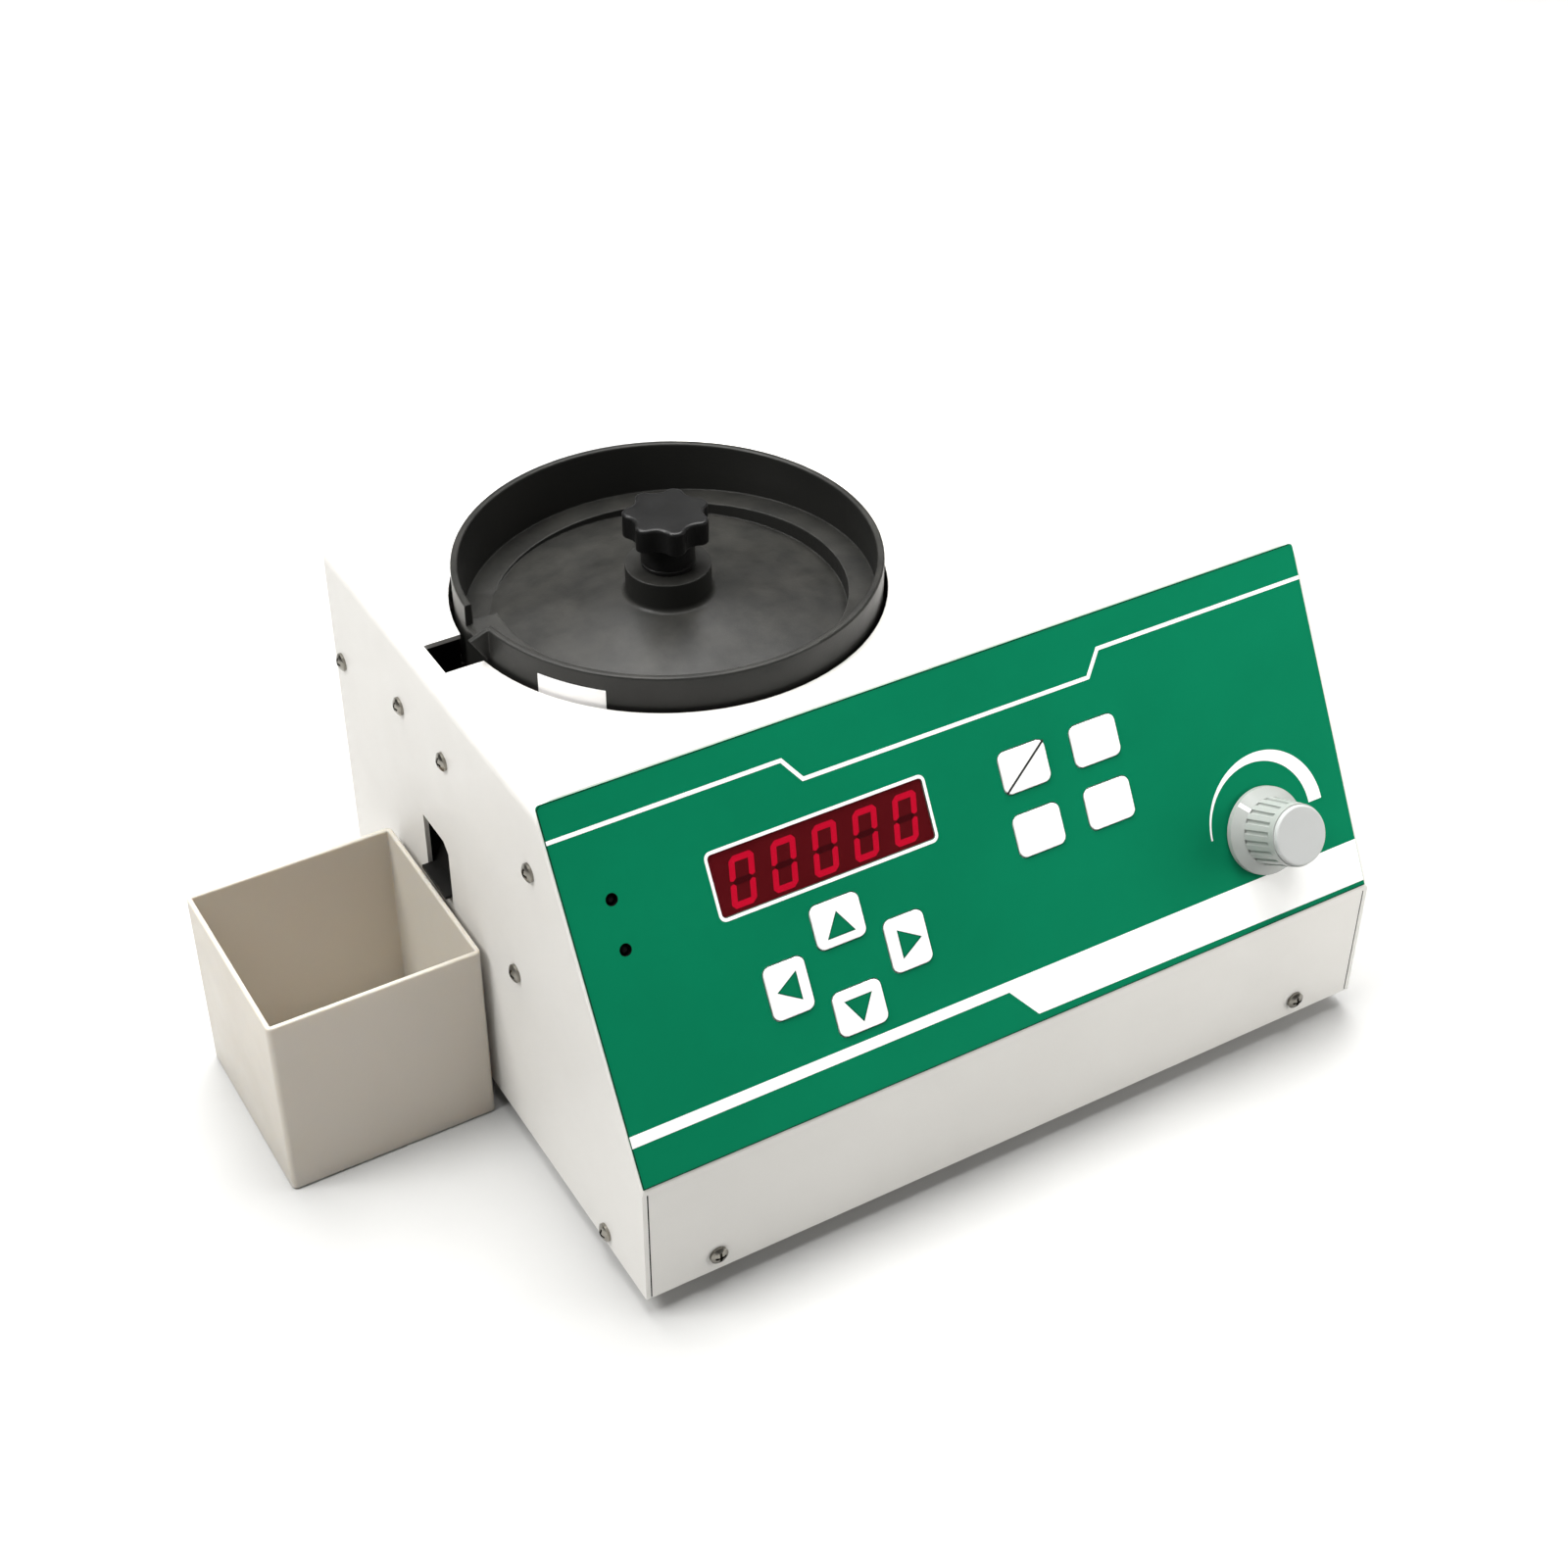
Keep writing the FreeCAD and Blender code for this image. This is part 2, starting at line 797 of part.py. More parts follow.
def board_bracket():
    """Sheet bracket on the left wall that backs the control board."""
    back = board_face - board_thickness
    low_y, low_z = panel_point(bracket_low_v, back - sheet)
    high_y, high_z = panel_point(bracket_high_v, back - sheet)
    (upper_y, upper_z), (lower_y, lower_z) = bracket_screws
    foot_z = foot_height + lower_z - bracket_margin
    outline = [(sheet, low_y, low_z), (sheet, high_y, high_z), (sheet, upper_y + bracket_margin, high_z),
               (sheet, lower_y + bracket_margin, foot_height + lower_z + bracket_margin),
               (sheet, lower_y + bracket_margin, foot_z), (sheet, low_y, foot_z)]
    plate = prism(outline, V(sheet, 0, 0))
    flange = block((sheet, bracket_low_v, back - sheet),
                   (sheet + bracket_flange_width, bracket_high_v, back))
    return drill_screw_holes(fused([plate, on_panel(flange)]))


# Vibration knob
def vibration_knob():
    low = overlay_top + knob_gap
    high = low + knob_height
    grip_low = low + skirt_rise
    knob = turned([(0, low), (skirt_radius, low), (skirt_radius, low + skirt_edge),
                   (grip_base_radius, grip_low), (grip_top_radius, high - knob_cap_thickness),
                   (0, high - knob_cap_thickness)])
    flute_high = high - flute_top_margin
    for index in range(flute_count):
        angle = 2 * math.pi * index / flute_count
        foot = V(grip_base_radius * math.cos(angle), grip_base_radius * math.sin(angle), grip_low)
        taper = (grip_top_radius - grip_base_radius) * (flute_high - grip_low) / (high - grip_low)
        lean = V(taper * math.cos(angle), taper * math.sin(angle), flute_high - grip_low)
        knob = knob.cut(Part.makeCylinder(flute_radius, lean.Length, foot, lean))
    knob = knob.cut(rod(knob_hollow_radius, low - past, low + knob_hollow_height, 0, 0))
    knob = knob.cut(rod(shaft_radius + shaft_fit, low - past, overlay_top + shaft_reach, 0, 0))
    return on_panel(shifted(knob, knob_x, knob_v))


def knob_cap():
    high = overlay_top + knob_gap + knob_height
    cap = rod(knob_cap_radius, high - knob_cap_thickness, high, knob_x, knob_v)
    cap = cap.makeFillet(knob_cap_thickness / 2, edges_at_height(cap, high))
    return on_panel(cap)


def potentiometer():
    body = rod(pot_radius, -sheet - pot_depth, -sheet, knob_x, knob_v)
    bush = rod(bush_radius, -sheet, overlay_top + bush_reach, knob_x, knob_v)
    bore = rod(shaft_radius + shaft_fit, -sheet - pot_depth / 2, past + bush_reach, knob_x, knob_v)
    return on_panel(fused([body, bush]).cut(bore))


def potentiometer_shaft():
    low = -sheet - pot_depth / 2 + sheet_gap
    return on_panel(rod(shaft_radius, low, overlay_top + shaft_reach, knob_x, knob_v))


def potentiometer_nut():
    corners = []
    for index in range(nut_sides):
        angle = 2 * math.pi * index / nut_sides
        corner = (knob_x + nut_radius * math.cos(angle), knob_v + nut_radius * math.sin(angle), overlay_top)
        corners.append(corner)
    nut = prism(corners, V(0, 0, nut_height))
    return on_panel(nut.cut(rod(bush_radius + shaft_fit, 0, past + nut_height, knob_x, knob_v)))


# Bowl
def bowl_sector(radius, start, end, low, high):
    """Pie slice of a disc about the bowl axis."""
    sector = Part.makeCylinder(radius, high - low, V(0, 0, low), Z_AXIS, end - start)
    sector.rotate(V(0, 0, 0), Z_AXIS, start)
    return sector


def spiral_track():
    """Ledge that climbs clockwise from below the floor's edge to just past the exit."""
    end_angle = exit_start_angle - track_overrun - 360
    sweep = track_start_angle - end_angle
    start_z = floor_edge_z - floor_thickness / 3
    end_z = track_exit_z + track_step
    under = floor_edge_z - floor_thickness * 2 / 3
    outer = bowl_inner_radius + bowl_wall / 3
    steps = math.ceil(sweep / track_facet)
    rows = []
    for index in range(steps + 1):
        angle = math.radians(end_angle + sweep * index / steps)
        top = end_z + (start_z - end_z) * index / steps
        corners = ((track_inner_radius, top), (outer, top), (outer, under), (track_inner_radius, under))
        rows.append([V(radius * math.cos(angle), radius * math.sin(angle), z) for radius, z in corners])
    faces = [rows[0], rows[-1]]
    for near, far in zip(rows, rows[1:]):
        faces += [(near[0], near[1], far[1]), (near[0], far[1], far[0])]
        for first, second in ((1, 2), (2, 3), (3, 0)):
            faces.append((near[first], near[second], far[second], far[first]))
    shell = Part.makeShell([Part.Face(Part.makePolygon(list(face) + [face[0]])) for face in faces])
    return Part.makeSolid(shell)


def bowl_spout():
    """Three-cornered fin that turns grains down into the slot."""
    low_y = bowl_radius * math.sin(math.radians(exit_end_angle)) - spout_wall
    inner_x = -bowl_inner_radius * math.cos(math.radians(180 - exit_end_angle))
    high_z, low_z = rim_z - spout_rim_drop, top_z + spout_low_lift
    outline = [(inner_x, low_y, low_z), (inner_x, low_y, high_z), (-bowl_radius, low_y, high_z),
               (-bowl_radius - spout_reach, low_y, rim_z - spout_tip_drop), (-bowl_radius, low_y, low_z)]
    return prism(outline, V(0, spout_wall, 0))


def bowl():
    under_edge = floor_edge_z - floor_thickness
    under_hub = floor_hub_z - floor_thickness
    stud_hole = stud_radius + stud_fit
    body = turned([(stud_hole, hub_top_z), (hub_radius, hub_top_z), (hub_radius, floor_hub_z),
                   (track_inner_radius, floor_edge_z), (bowl_inner_radius, floor_edge_z),
                   (bowl_inner_radius, rim_z), (bowl_radius, rim_z),
                   (bowl_radius, top_z - skirt_drop), (bowl_inner_radius, top_z - skirt_drop),
                   (bowl_inner_radius, under_edge), (track_inner_radius, under_edge),
                   (boss_radius, under_hub), (boss_radius, boss_low_z), (stud_hole, boss_low_z)])
    body = body.makeFillet(rim_radius, edges_at_height(body, rim_z))
    body = body.makeFillet(hub_foot_radius, edges_at_height(body, floor_hub_z))
    notch = bowl_sector(bowl_radius + past, exit_start_angle, exit_end_angle, track_exit_z, rim_z + past)
    notch = notch.cut(rod(bowl_inner_radius - rim_radius, floor_edge_z, rim_z + 2 * past, 0, 0))
    body = body.cut(notch).multiFuse([spiral_track(), bowl_spout()])
    return shifted(body, bowl_x, bowl_y)


def bowl_label():
    sweep = math.degrees(label_width / bowl_radius)
    high = top_z + label_top
    outer = bowl_sector(bowl_radius + label_thickness, 0, sweep, high - label_height, high)
    label = outer.cut(rod(bowl_radius, high - label_height - past, high + past, 0, 0))
    label.rotate(V(0, 0, 0), Z_AXIS, label_angle - sweep / 2)
    return shifted(label, bowl_x, bowl_y)


def star_outline(z):
    """Wavy outline of rounded lobes joined by tangent hollows."""
    half_step = math.pi / star_lobes
    lobe_circle = star_radius - star_lobe_radius
    root = star_radius - star_notch_depth
    spread = lobe_circle * math.cos(half_step)
    hollow_radius = (lobe_circle ** 2 + root ** 2 - 2 * root * spread - star_lobe_radius ** 2)
    hollow_radius = hollow_radius / (2 * (star_lobe_radius - root + spread))

    def spot(radius, angle):
        return V(radius * math.cos(angle), radius * math.sin(angle), z)

    edges = []
    for index in range(star_lobes):
        angle = math.radians(star_turn) + 2 * half_step * index
        lobe = spot(lobe_circle, angle)
        before = spot(root + hollow_radius, angle - half_step)
        after = spot(root + hollow_radius, angle + half_step)
        first = lobe + (before - lobe).normalize() * star_lobe_radius
        last = lobe + (after - lobe).normalize() * star_lobe_radius
        edges.append(Part.Arc(first, spot(star_radius, angle), last).toShape())
        following = spot(lobe_circle, angle + 2 * half_step)
        landing = following + (after - following).normalize() * star_lobe_radius
        edges.append(Part.Arc(last, spot(root, angle + half_step), landing).toShape())
    return Part.Wire(edges)


def clamp_knob():
    """Star knob with its neck and blind threaded bore."""
    star = Part.Face(star_outline(star_low_z)).extrude(V(0, 0, star_height))
    star = star.makeFillet(star_edge_radius, edges_at_height(star, star_top_z))
    neck = rod(neck_radius, neck_low_z + clamp_gap, star_low_z, 0, 0)
    bore_top = neck_low_z + stud_engagement + stud_end_gap
    bore = rod(stud_radius + stud_fit, neck_low_z, bore_top, 0, 0)
    return shifted(fused([star, neck]).cut(bore), bowl_x, bowl_y)


def clamp_washer():
    washer = rod(neck_radius, washer_low_z, neck_low_z, 0, 0)
    washer = washer.cut(rod(stud_radius + stud_fit, washer_low_z - past, neck_low_z + past, 0, 0))
    return shifted(washer, bowl_x, bowl_y)


def clamp_stud():
    return rod(stud_radius, plate_top_z, neck_low_z + stud_engagement, bowl_x, bowl_y)


# Bowl drive
def bowl_seat():
    seat = rod(seat_radius, plate_top_z, boss_low_z, bowl_x, bowl_y)
    return seat.cut(rod(stud_radius + stud_fit, plate_top_z - past, boss_low_z + past, bowl_x, bowl_y))


def armature_plate():
    return rod(plate_radius, plate_low_z, plate_top_z, bowl_x, bowl_y)


def armature():
    return block((bowl_x - core_width / 2, bowl_y - core_depth / 2, armature_low_z),
                 (bowl_x + core_width / 2, bowl_y + core_depth / 2, plate_low_z))


def spring_frame():
    """Placement of a leaf in the middle of its span, its length along local Z and its thickness along Y."""
    middle_z = (weight_top_z + plate_low_z) / 2
    lean = FreeCAD.Rotation(X_AXIS, spring_tilt)
    return FreeCAD.Placement(V(bowl_x + spring_circle, bowl_y, middle_z), lean)


def spring_layer(low, high, length):
    """Flat slab parallel to the leaf, between two distances from its middle plane."""
    half_w = spring_width / 2
    slab = block((-half_w, low, -length / 2), (half_w, high, length / 2))
    slab.Placement = spring_frame()
    return slab


def around_bowl(solid):
    """Copies of a solid spaced evenly about the bowl axis."""
    step = 360 / spring_count
    return Part.Compound([turned_about_bowl(solid, step * index) for index in range(spring_count)])


def spring_span():
    """Length of the leaf between the far ends of its two clamp blocks."""
    return (plate_low_z - weight_top_z - clamp_block_height / 2) / math.cos(math.radians(spring_tilt))


def leaf_springs():
    half = spring_thickness / 2
    return around_bowl(spring_layer(-half, half, spring_span()))


def clamp_block(low_z, high_z, low, high):
    """Block between two levels, trimmed to one side of the leaf."""
    reach = 4 * spring_span()
    span = block((bowl_x + spring_circle - spring_width / 2, bowl_y - reach, low_z),
                 (bowl_x + spring_circle + spring_width / 2, bowl_y + reach, high_z))
    return span.common(spring_layer(low, high, reach))


def spring_clamps_lower():
    face = spring_thickness / 2
    high_z = weight_top_z + clamp_block_height
    return around_bowl(clamp_block(weight_top_z, high_z, face, face + clamp_block_depth))


def spring_clamps_upper():
    face = spring_thickness / 2 + spring_play
    low_z = plate_low_z - clamp_block_height
    return around_bowl(clamp_block(low_z, plate_low_z, -face - clamp_block_depth, -face))


def magnet_core():
    """Laminated E core, limbs up."""
    x, y = bowl_x, bowl_y
    low = (x - core_width / 2, y - core_depth / 2, weight_top_z)
    high = (x + core_width / 2, y + core_depth / 2, core_top_z)
    core = block(low, high)
    edge = core_width / 2 - core_limb
    for inner, outer in ((-edge, -core_limb), (core_limb, edge)):
        core = core.cut(block((x + inner, low[1] - past, weight_top_z + core_limb),
                              (x + outer, high[1] + past, core_top_z + past)))
    return core


def magnet_coil():
    """Wound coil round the core's middle limb."""
    x, y = bowl_x, bowl_y
    low_z = weight_top_z + core_limb + coil_gap
    high_z = core_top_z - core_limb / 2
    outer_x = core_width / 2 - core_limb - coil_gap
    outer_y = core_depth / 2 + coil_wall
    hole_x, hole_y = core_limb + coil_gap, core_depth / 2 + coil_gap
    coil = rounded_plate((x, y), (2 * outer_x, 2 * outer_y), edge_radius, low_z, high_z)
    return coil.cut(block((x - hole_x, y - hole_y, low_z - past), (x + hole_x, y + hole_y, high_z + past)))


def vibrator_base():
    return rod(weight_radius, weight_low_z, weight_top_z, bowl_x, bowl_y)


def vibrator_isolators():
    foot = rod(isolator_radius, base_floor_z, weight_low_z, bowl_x + isolator_circle, bowl_y)
    return around_bowl(foot)


# Chute and sensor
def chute_limits():
    """Outside of the chute's duct: low and high x, low and high y."""
    low_x = sheet + sheet_gap
    high_x = bowl_x - bowl_radius + bowl_wall + chute_margin
    low_y = slot_low_y - chute_margin - chute_wall
    high_y = slot_high_y + chute_margin + chute_wall + (window_high_y - slot_high_y)
    return low_x, high_x, low_y, high_y


def drop_chute():
    """Duct below the slot with a sloping floor that leads out of the window, and two screw ears."""
    low_x, high_x, low_y, high_y = chute_limits()
    top = top_z - sheet - chute_top_gap
    bottom = window_floor_z - chute_wall
    slope_top = window_floor_z + chute_slope_rise
    duct = block((low_x, low_y, bottom), (high_x, high_y, top))
    inner_low_y, inner_high_y = low_y + chute_wall, high_y - chute_wall
    near_x, far_x = low_x + chute_wall, high_x - chute_wall
    hollow = prism([(near_x, inner_low_y, top + past), (far_x, inner_low_y, top + past),
                    (far_x, inner_low_y, slope_top), (low_x, inner_low_y, window_floor_z),
                    (low_x - past, inner_low_y, window_floor_z), (low_x - past, inner_low_y, window_roof_z),
                    (near_x, inner_low_y, window_roof_z)], V(0, inner_high_y - inner_low_y, 0))
    under = prism([(far_x, low_y - past, slope_top - 2 * chute_wall), (near_x, low_y - past, bottom),
                   (high_x + past, low_y - past, bottom), (high_x + past, low_y - past, slope_top)],
                  V(0, high_y - low_y + 2 * past, 0))
    lip_low_y, lip_high_y = window_low_y + sheet_gap, window_high_y - sheet_gap
    lip_z = window_floor_z + sheet_gap
    lip = block((-lip_reach, lip_low_y, lip_z), (near_x, lip_high_y, lip_z + chute_wall))
    ears = []
    for y, z in chute_screws:
        side_y = inner_low_y if y < bowl_y else inner_high_y
        end_y = y - chute_ear_reach if y < bowl_y else y + chute_ear_reach
        near, far = min(side_y, end_y), max(side_y, end_y)
        mid = foot_height + z
        ears.append(block((low_x, near, mid - chute_ear_height / 2),
                          (near_x, far, mid + chute_ear_height / 2)))
    chute = fused([duct] + ears).cut(hollow).cut(under).common(cover_form(base_inset, past))
    bowl_room = rod(bowl_radius + chute_margin, top_z - skirt_drop - chute_margin, top_z, bowl_x, bowl_y)
    chute = fused([chute.cut(bowl_room), lip])
    eye_start = V((low_x + high_x) / 2, low_y - past, sensor_z())
    eye = Part.makeCylinder(sensor_eye_radius, high_y - low_y + 2 * past, eye_start, Y_AXIS)
    return drill_screw_holes(chute.cut(eye))


def sensor_z():
    return foot_height + sensor_height


def sensor_block(face_y, direction):
    """Sensor housing against one side of the chute."""
    low_x, high_x, low_y, high_y = chute_limits()
    middle = (low_x + high_x) / 2
    half = sensor_size / 2
    near, far = sorted((face_y, face_y + direction * sensor_depth))
    return block((middle - half, near, sensor_z() - half), (middle + half, far, sensor_z() + half))


def sensor_emitter():
    return sensor_block(chute_limits()[2], -1)


def sensor_receiver():
    return sensor_block(chute_limits()[3], 1)


# Boards and transformer on the base
def main_board_z():
    return base_floor_z + main_board_lift


def main_board():
    low_z = main_board_z()
    return block((main_board_x[0], main_board_y[0], low_z),
                 (main_board_x[1], main_board_y[1], low_z + board_thickness))


def main_board_standoffs():
    posts = []
    for x in (main_board_x[0] + standoff_inset, main_board_x[1] - standoff_inset):
        for y in (main_board_y[0] + standoff_inset, main_board_y[1] - standoff_inset):
            posts.append(rod(standoff_radius, base_floor_z, main_board_z(), x, y))
    return posts


def board_standoffs():
    return Part.Compound(control_standoffs() + main_board_standoffs())


def on_main_board(place, size):
    """Box of a size whose low corner stands at a place on the main board."""
    x, y = main_board_x[0] + place[0], main_board_y[0] + place[1]
    z = main_board_z() + board_thickness
    return (x, y, z), (x + size[0], y + size[1], z + size[2])


def main_board_can(place, radius, height):
    x, y, z = on_main_board(place, (0, 0, 0))[0]
    return rod(radius, z, z + height, x, y)


def main_board_components():
    """Capacitors, a heat sink, a controller chip and plug headers on the board."""
    place = (main_board_width - capacitor_inset, capacitor_y)
    parts = [main_board_can(place, capacitor_radius, capacitor_height)]
    for place in small_capacitor_places:
        parts.append(main_board_can(place, small_capacitor_radius, small_capacitor_height))
    place = (main_board_width - heat_sink_inset, heat_sink_y)
    boxes = [on_main_board(place, heat_sink_size), on_main_board(chip_place, chip_size)]
    boxes += [ribbon_header(), coil_header(), sensor_header(), supply_header()]
    return Part.Compound(parts + [block(low, high) for low, high in boxes])


def ribbon_header():
    return on_main_board(ribbon_header_place, (ribbon_width, header_depth, header_height))


def coil_header():
    return on_main_board(coil_header_place, (header_depth, header_width, header_height))


def sensor_header():
    return on_main_board(sensor_header_place, (header_depth, header_width, header_height))


def supply_header():
    place = (main_board_width - supply_header_inset, supply_header_y)
    return on_main_board(place, (header_width, header_depth, header_height))


def transformer_core():
    """Laminated frame with a middle limb, its windows facing front and back."""
    x, y = transformer_x, transformer_y
    low = (x - transformer_width / 2, y - transformer_depth / 2, base_floor_z)
    high = (x + transformer_width / 2, y + transformer_depth / 2, base_floor_z + transformer_height)
    core = block(low, high)
    for inner, outer in transformer_windows():
        core = core.cut(block((x + inner, low[1] - past, low[2] + transformer_limb),
                              (x + outer, high[1] + past, high[2] - transformer_limb)))
    return core


def transformer_windows():
    edge = transformer_width / 2 - transformer_limb
    return (-edge, -transformer_limb), (transformer_limb, edge)


def transformer_winding():
    x, y = transformer_x, transformer_y
    edge = transformer_windows()[1][1] - winding_gap
    low_z = base_floor_z + transformer_limb + winding_gap
    high_z = base_floor_z + transformer_height - transformer_limb - winding_gap
    reach = transformer_depth / 2 + winding_reach
    coil = rounded_plate((x, y), (2 * edge, 2 * reach), edge_radius, low_z, high_z)
    hole_x, hole_y = transformer_limb + winding_gap, transformer_depth / 2 + winding_gap
    return coil.cut(block((x - hole_x, y - hole_y, low_z - past), (x + hole_x, y + hole_y, high_z + past)))


# Rear fittings, made along local Z and turned to face backwards
def on_rear(shape, x):
    """Stand a shape made in (across, up, outwards) axes on the rear panel."""
    moved = shape.copy()
    turn = FreeCAD.Rotation(V(-1, 0, 0), Z_AXIS, Y_AXIS, "ZXY")
    moved.Placement = FreeCAD.Placement(V(x, rear_face_y, fitting_z), turn).multiply(moved.Placement)
    return moved


def inlet_screw_x():
    return inlet_x - inlet_screw_spacing / 2, inlet_x + inlet_screw_spacing / 2


def power_inlet():
    flange = rounded_plate((0, 0), (inlet_flange_width, inlet_flange_height), inlet_corner_radius,
                           0, inlet_flange_thickness)
    body = rounded_plate((0, 0), (inlet_body_width, inlet_body_height), edge_radius, -inlet_body_depth, 0)
    socket = rounded_plate((0, 0), (inlet_socket_width, inlet_socket_height), inlet_corner_radius,
                           inlet_flange_thickness - inlet_socket_depth, inlet_flange_thickness + past)
    inlet = fused([flange, body]).cut(socket)
    for x in (-inlet_screw_spacing / 2, inlet_screw_spacing / 2):
        inlet = inlet.cut(rod(screw_hole_radius, -past, inlet_flange_thickness + past, x, 0))
    return on_rear(inlet, inlet_x)


def inlet_pins():
    low = inlet_flange_thickness - inlet_socket_depth
    pins = []
    for x, y in ((-pin_spread, -pin_drop), (0, pin_drop), (pin_spread, -pin_drop)):
        pin = block((x - pin_thickness / 2, y - pin_width / 2, low),
                    (x + pin_thickness / 2, y + pin_width / 2, low + pin_length))
        pins.append(on_rear(pin, inlet_x))
    return Part.Compound(pins)


def inlet_screws():
    seat_y = rear_face_y + inlet_flange_thickness
    screw = pan_screw(inlet_flange_thickness + screw_length)
    return [aimed(screw, V(x, seat_y, fitting_z), Y_AXIS) for x in inlet_screw_x()]


def fuse_holder():
    flange = rod(fuse_flange_radius, 0, fuse_flange_thickness, 0, 0)
    body = rod(fuse_body_radius, -fuse_body_depth, 0, 0, 0)
    return on_rear(fused([flange, body]), fuse_x)


def fuse_cap():
    low = fuse_flange_thickness + clamp_gap
    high = low + fuse_cap_height
    cap = rod(fuse_cap_radius, low, high, 0, 0)
    cap = cap.makeFillet(edge_radius, edges_at_height(cap, high))
    half = fuse_slot_width / 2
    reach = fuse_cap_radius + past
    slot = block((-reach, -half, high - fuse_slot_depth), (reach, half, high + past))
    return on_rear(cap.cut(slot), fuse_x)


def power_switch():
    bezel_size = (switch_bezel_width, switch_bezel_height)
    bezel = rounded_plate((0, 0), bezel_size, edge_radius, 0, switch_bezel_thickness)
    body = block((-switch_body_width / 2, -switch_body_height / 2, -switch_body_depth),
                 (switch_body_width / 2, switch_body_height / 2, 0))
    half_w, half_h = switch_well_width / 2, switch_well_height / 2
    well = block((-half_w, -half_h, switch_bezel_thickness - switch_well_depth),
                 (half_w, half_h, switch_bezel_thickness + past))
    pin_hole = rocker_axle(rocker_pin_radius + rocker_pin_fit, switch_body_width / 2)
    return on_rear(fused([bezel, body]).cut(well).cut(pin_hole), rocker_x)


def rocker_axle(radius, reach):
    """Round bar across the switch on the rocker's pivot line."""
    return Part.makeCylinder(radius, 2 * reach, V(-reach, 0, rocker_pivot), X_AXIS)


def power_rocker():
    """Two-faced rocker, tilted to its on side, with a pin at each side in the walls of the well."""
    half_w = switch_well_width / 2 - rocker_gap
    half_h = switch_well_height / 2 - rocker_end_gap
    drop = half_h * math.tan(math.radians(rocker_tilt))
    low = switch_bezel_thickness - rocker_depth
    high = switch_bezel_thickness + rocker_rise
    narrow = half_h - rocker_depth / 2
    outline = [(-half_w, -narrow, low), (-half_w, narrow, low), (-half_w, half_h, switch_bezel_thickness),
               (-half_w, half_h, high), (-half_w, 0, high - drop), (-half_w, -half_h, high),
               (-half_w, -half_h, switch_bezel_thickness)]
    axle = rocker_axle(rocker_pin_radius, switch_well_width / 2 + rocker_pin_reach)
    rocker = fused([prism(outline, V(2 * half_w, 0, 0)), axle])
    rocker.rotate(V(0, 0, rocker_pivot), X_AXIS, rocker_tilt)
    return on_rear(rocker, rocker_x)


# Leads inside the case
def lead(points, radius, bend):
    """Round lead along straight runs joined by tangent arcs."""
    corners = [V(*point) for point in points]
    edges = []
    start = corners[0]
    for before, corner, after in zip(corners, corners[1:], corners[2:]):
        into = (corner - before).normalize()
        out = (after - corner).normalize()
        half_turn = into.getAngle(out) / 2
        cut = bend * math.tan(half_turn)
        first, last = corner - into * cut, corner + out * cut
        bisector = (out - into).normalize()
        middle = corner + bisector * (bend / math.cos(half_turn) - bend)
        edges.append(Part.LineSegment(start, first).toShape())
        edges.append(Part.Arc(first, middle, last).toShape())
        start = last
    edges.append(Part.LineSegment(start, corners[-1]).toShape())
    direction = corners[1] - corners[0]
    ring = Part.Wire(Part.makeCircle(radius, corners[0], direction))
    return Part.Wire(edges).makePipeShell([ring], True, True)


def coil_leads():
    """Pair, one above the other, from the drive coil to its plug on the main board."""
    low, high = coil_header()
    coil_y = bowl_y - core_depth / 2 - coil_wall
    out_y = bowl_y - weight_radius - 2 * lead_bend
    plug_y = (low[1] + high[1]) / 2
    leads = []
    for side in (-lead_spacing / 2, lead_spacing / 2):
        start_z = weight_top_z + core_height / 2 + side
        plug_z = (low[2] + high[2]) / 2 + side
        route = [(bowl_x, coil_y, start_z), (bowl_x, out_y, start_z),
                 (low[0] - 3 * lead_bend, plug_y, plug_z), (low[0], plug_y, plug_z)]
        leads.append(lead(route, lead_radius, lead_bend))
    return leads


def sensor_leads():
    """One sheathed lead from each half of the counting sensor to their plug on the main board."""
    low_x, high_x, low_y, high_y = chute_limits()
    low, high = sensor_header()
    x = (low_x + high_x) / 2
    front_y, back_y = low_y - sensor_depth, high_y + sensor_depth
    plug_x, plug_z = low[0], (low[2] + high[2]) / 2
    far_y = low[1] + header_width / 4
    near_y = high[1] - header_width / 4
    emitter = [(x, front_y, sensor_z()), (x, front_y - 3 * lead_bend, sensor_z()),
               (x + 4 * lead_bend, near_y, plug_z), (plug_x, near_y, plug_z)]
    run_z = base_floor_z + sensor_lead_lift
    receiver = [(x, back_y, sensor_z()), (x, back_y + 2 * lead_bend, sensor_z()),
                (x, back_y + 2 * lead_bend, run_z), (x, far_y, run_z),
                (plug_x - 3 * lead_bend, far_y, plug_z), (plug_x, far_y, plug_z)]
    return [lead(route, sensor_lead_radius, lead_bend) for route in (emitter, receiver)]


def supply_leads():
    """Pair from the transformer winding to the supply plug on the main board."""
    low, high = supply_header()
    winding_y = transformer_y - transformer_depth / 2 - winding_reach
    z = (low[2] + high[2]) / 2
    middle = (low[0] + high[0]) / 2
    leads = []
    for side in (-lead_spacing / 2, lead_spacing / 2):
        route = [(middle + side, winding_y, z), (middle + side, high[1], z)]
        leads.append(lead(route, lead_radius, lead_bend))
    return leads


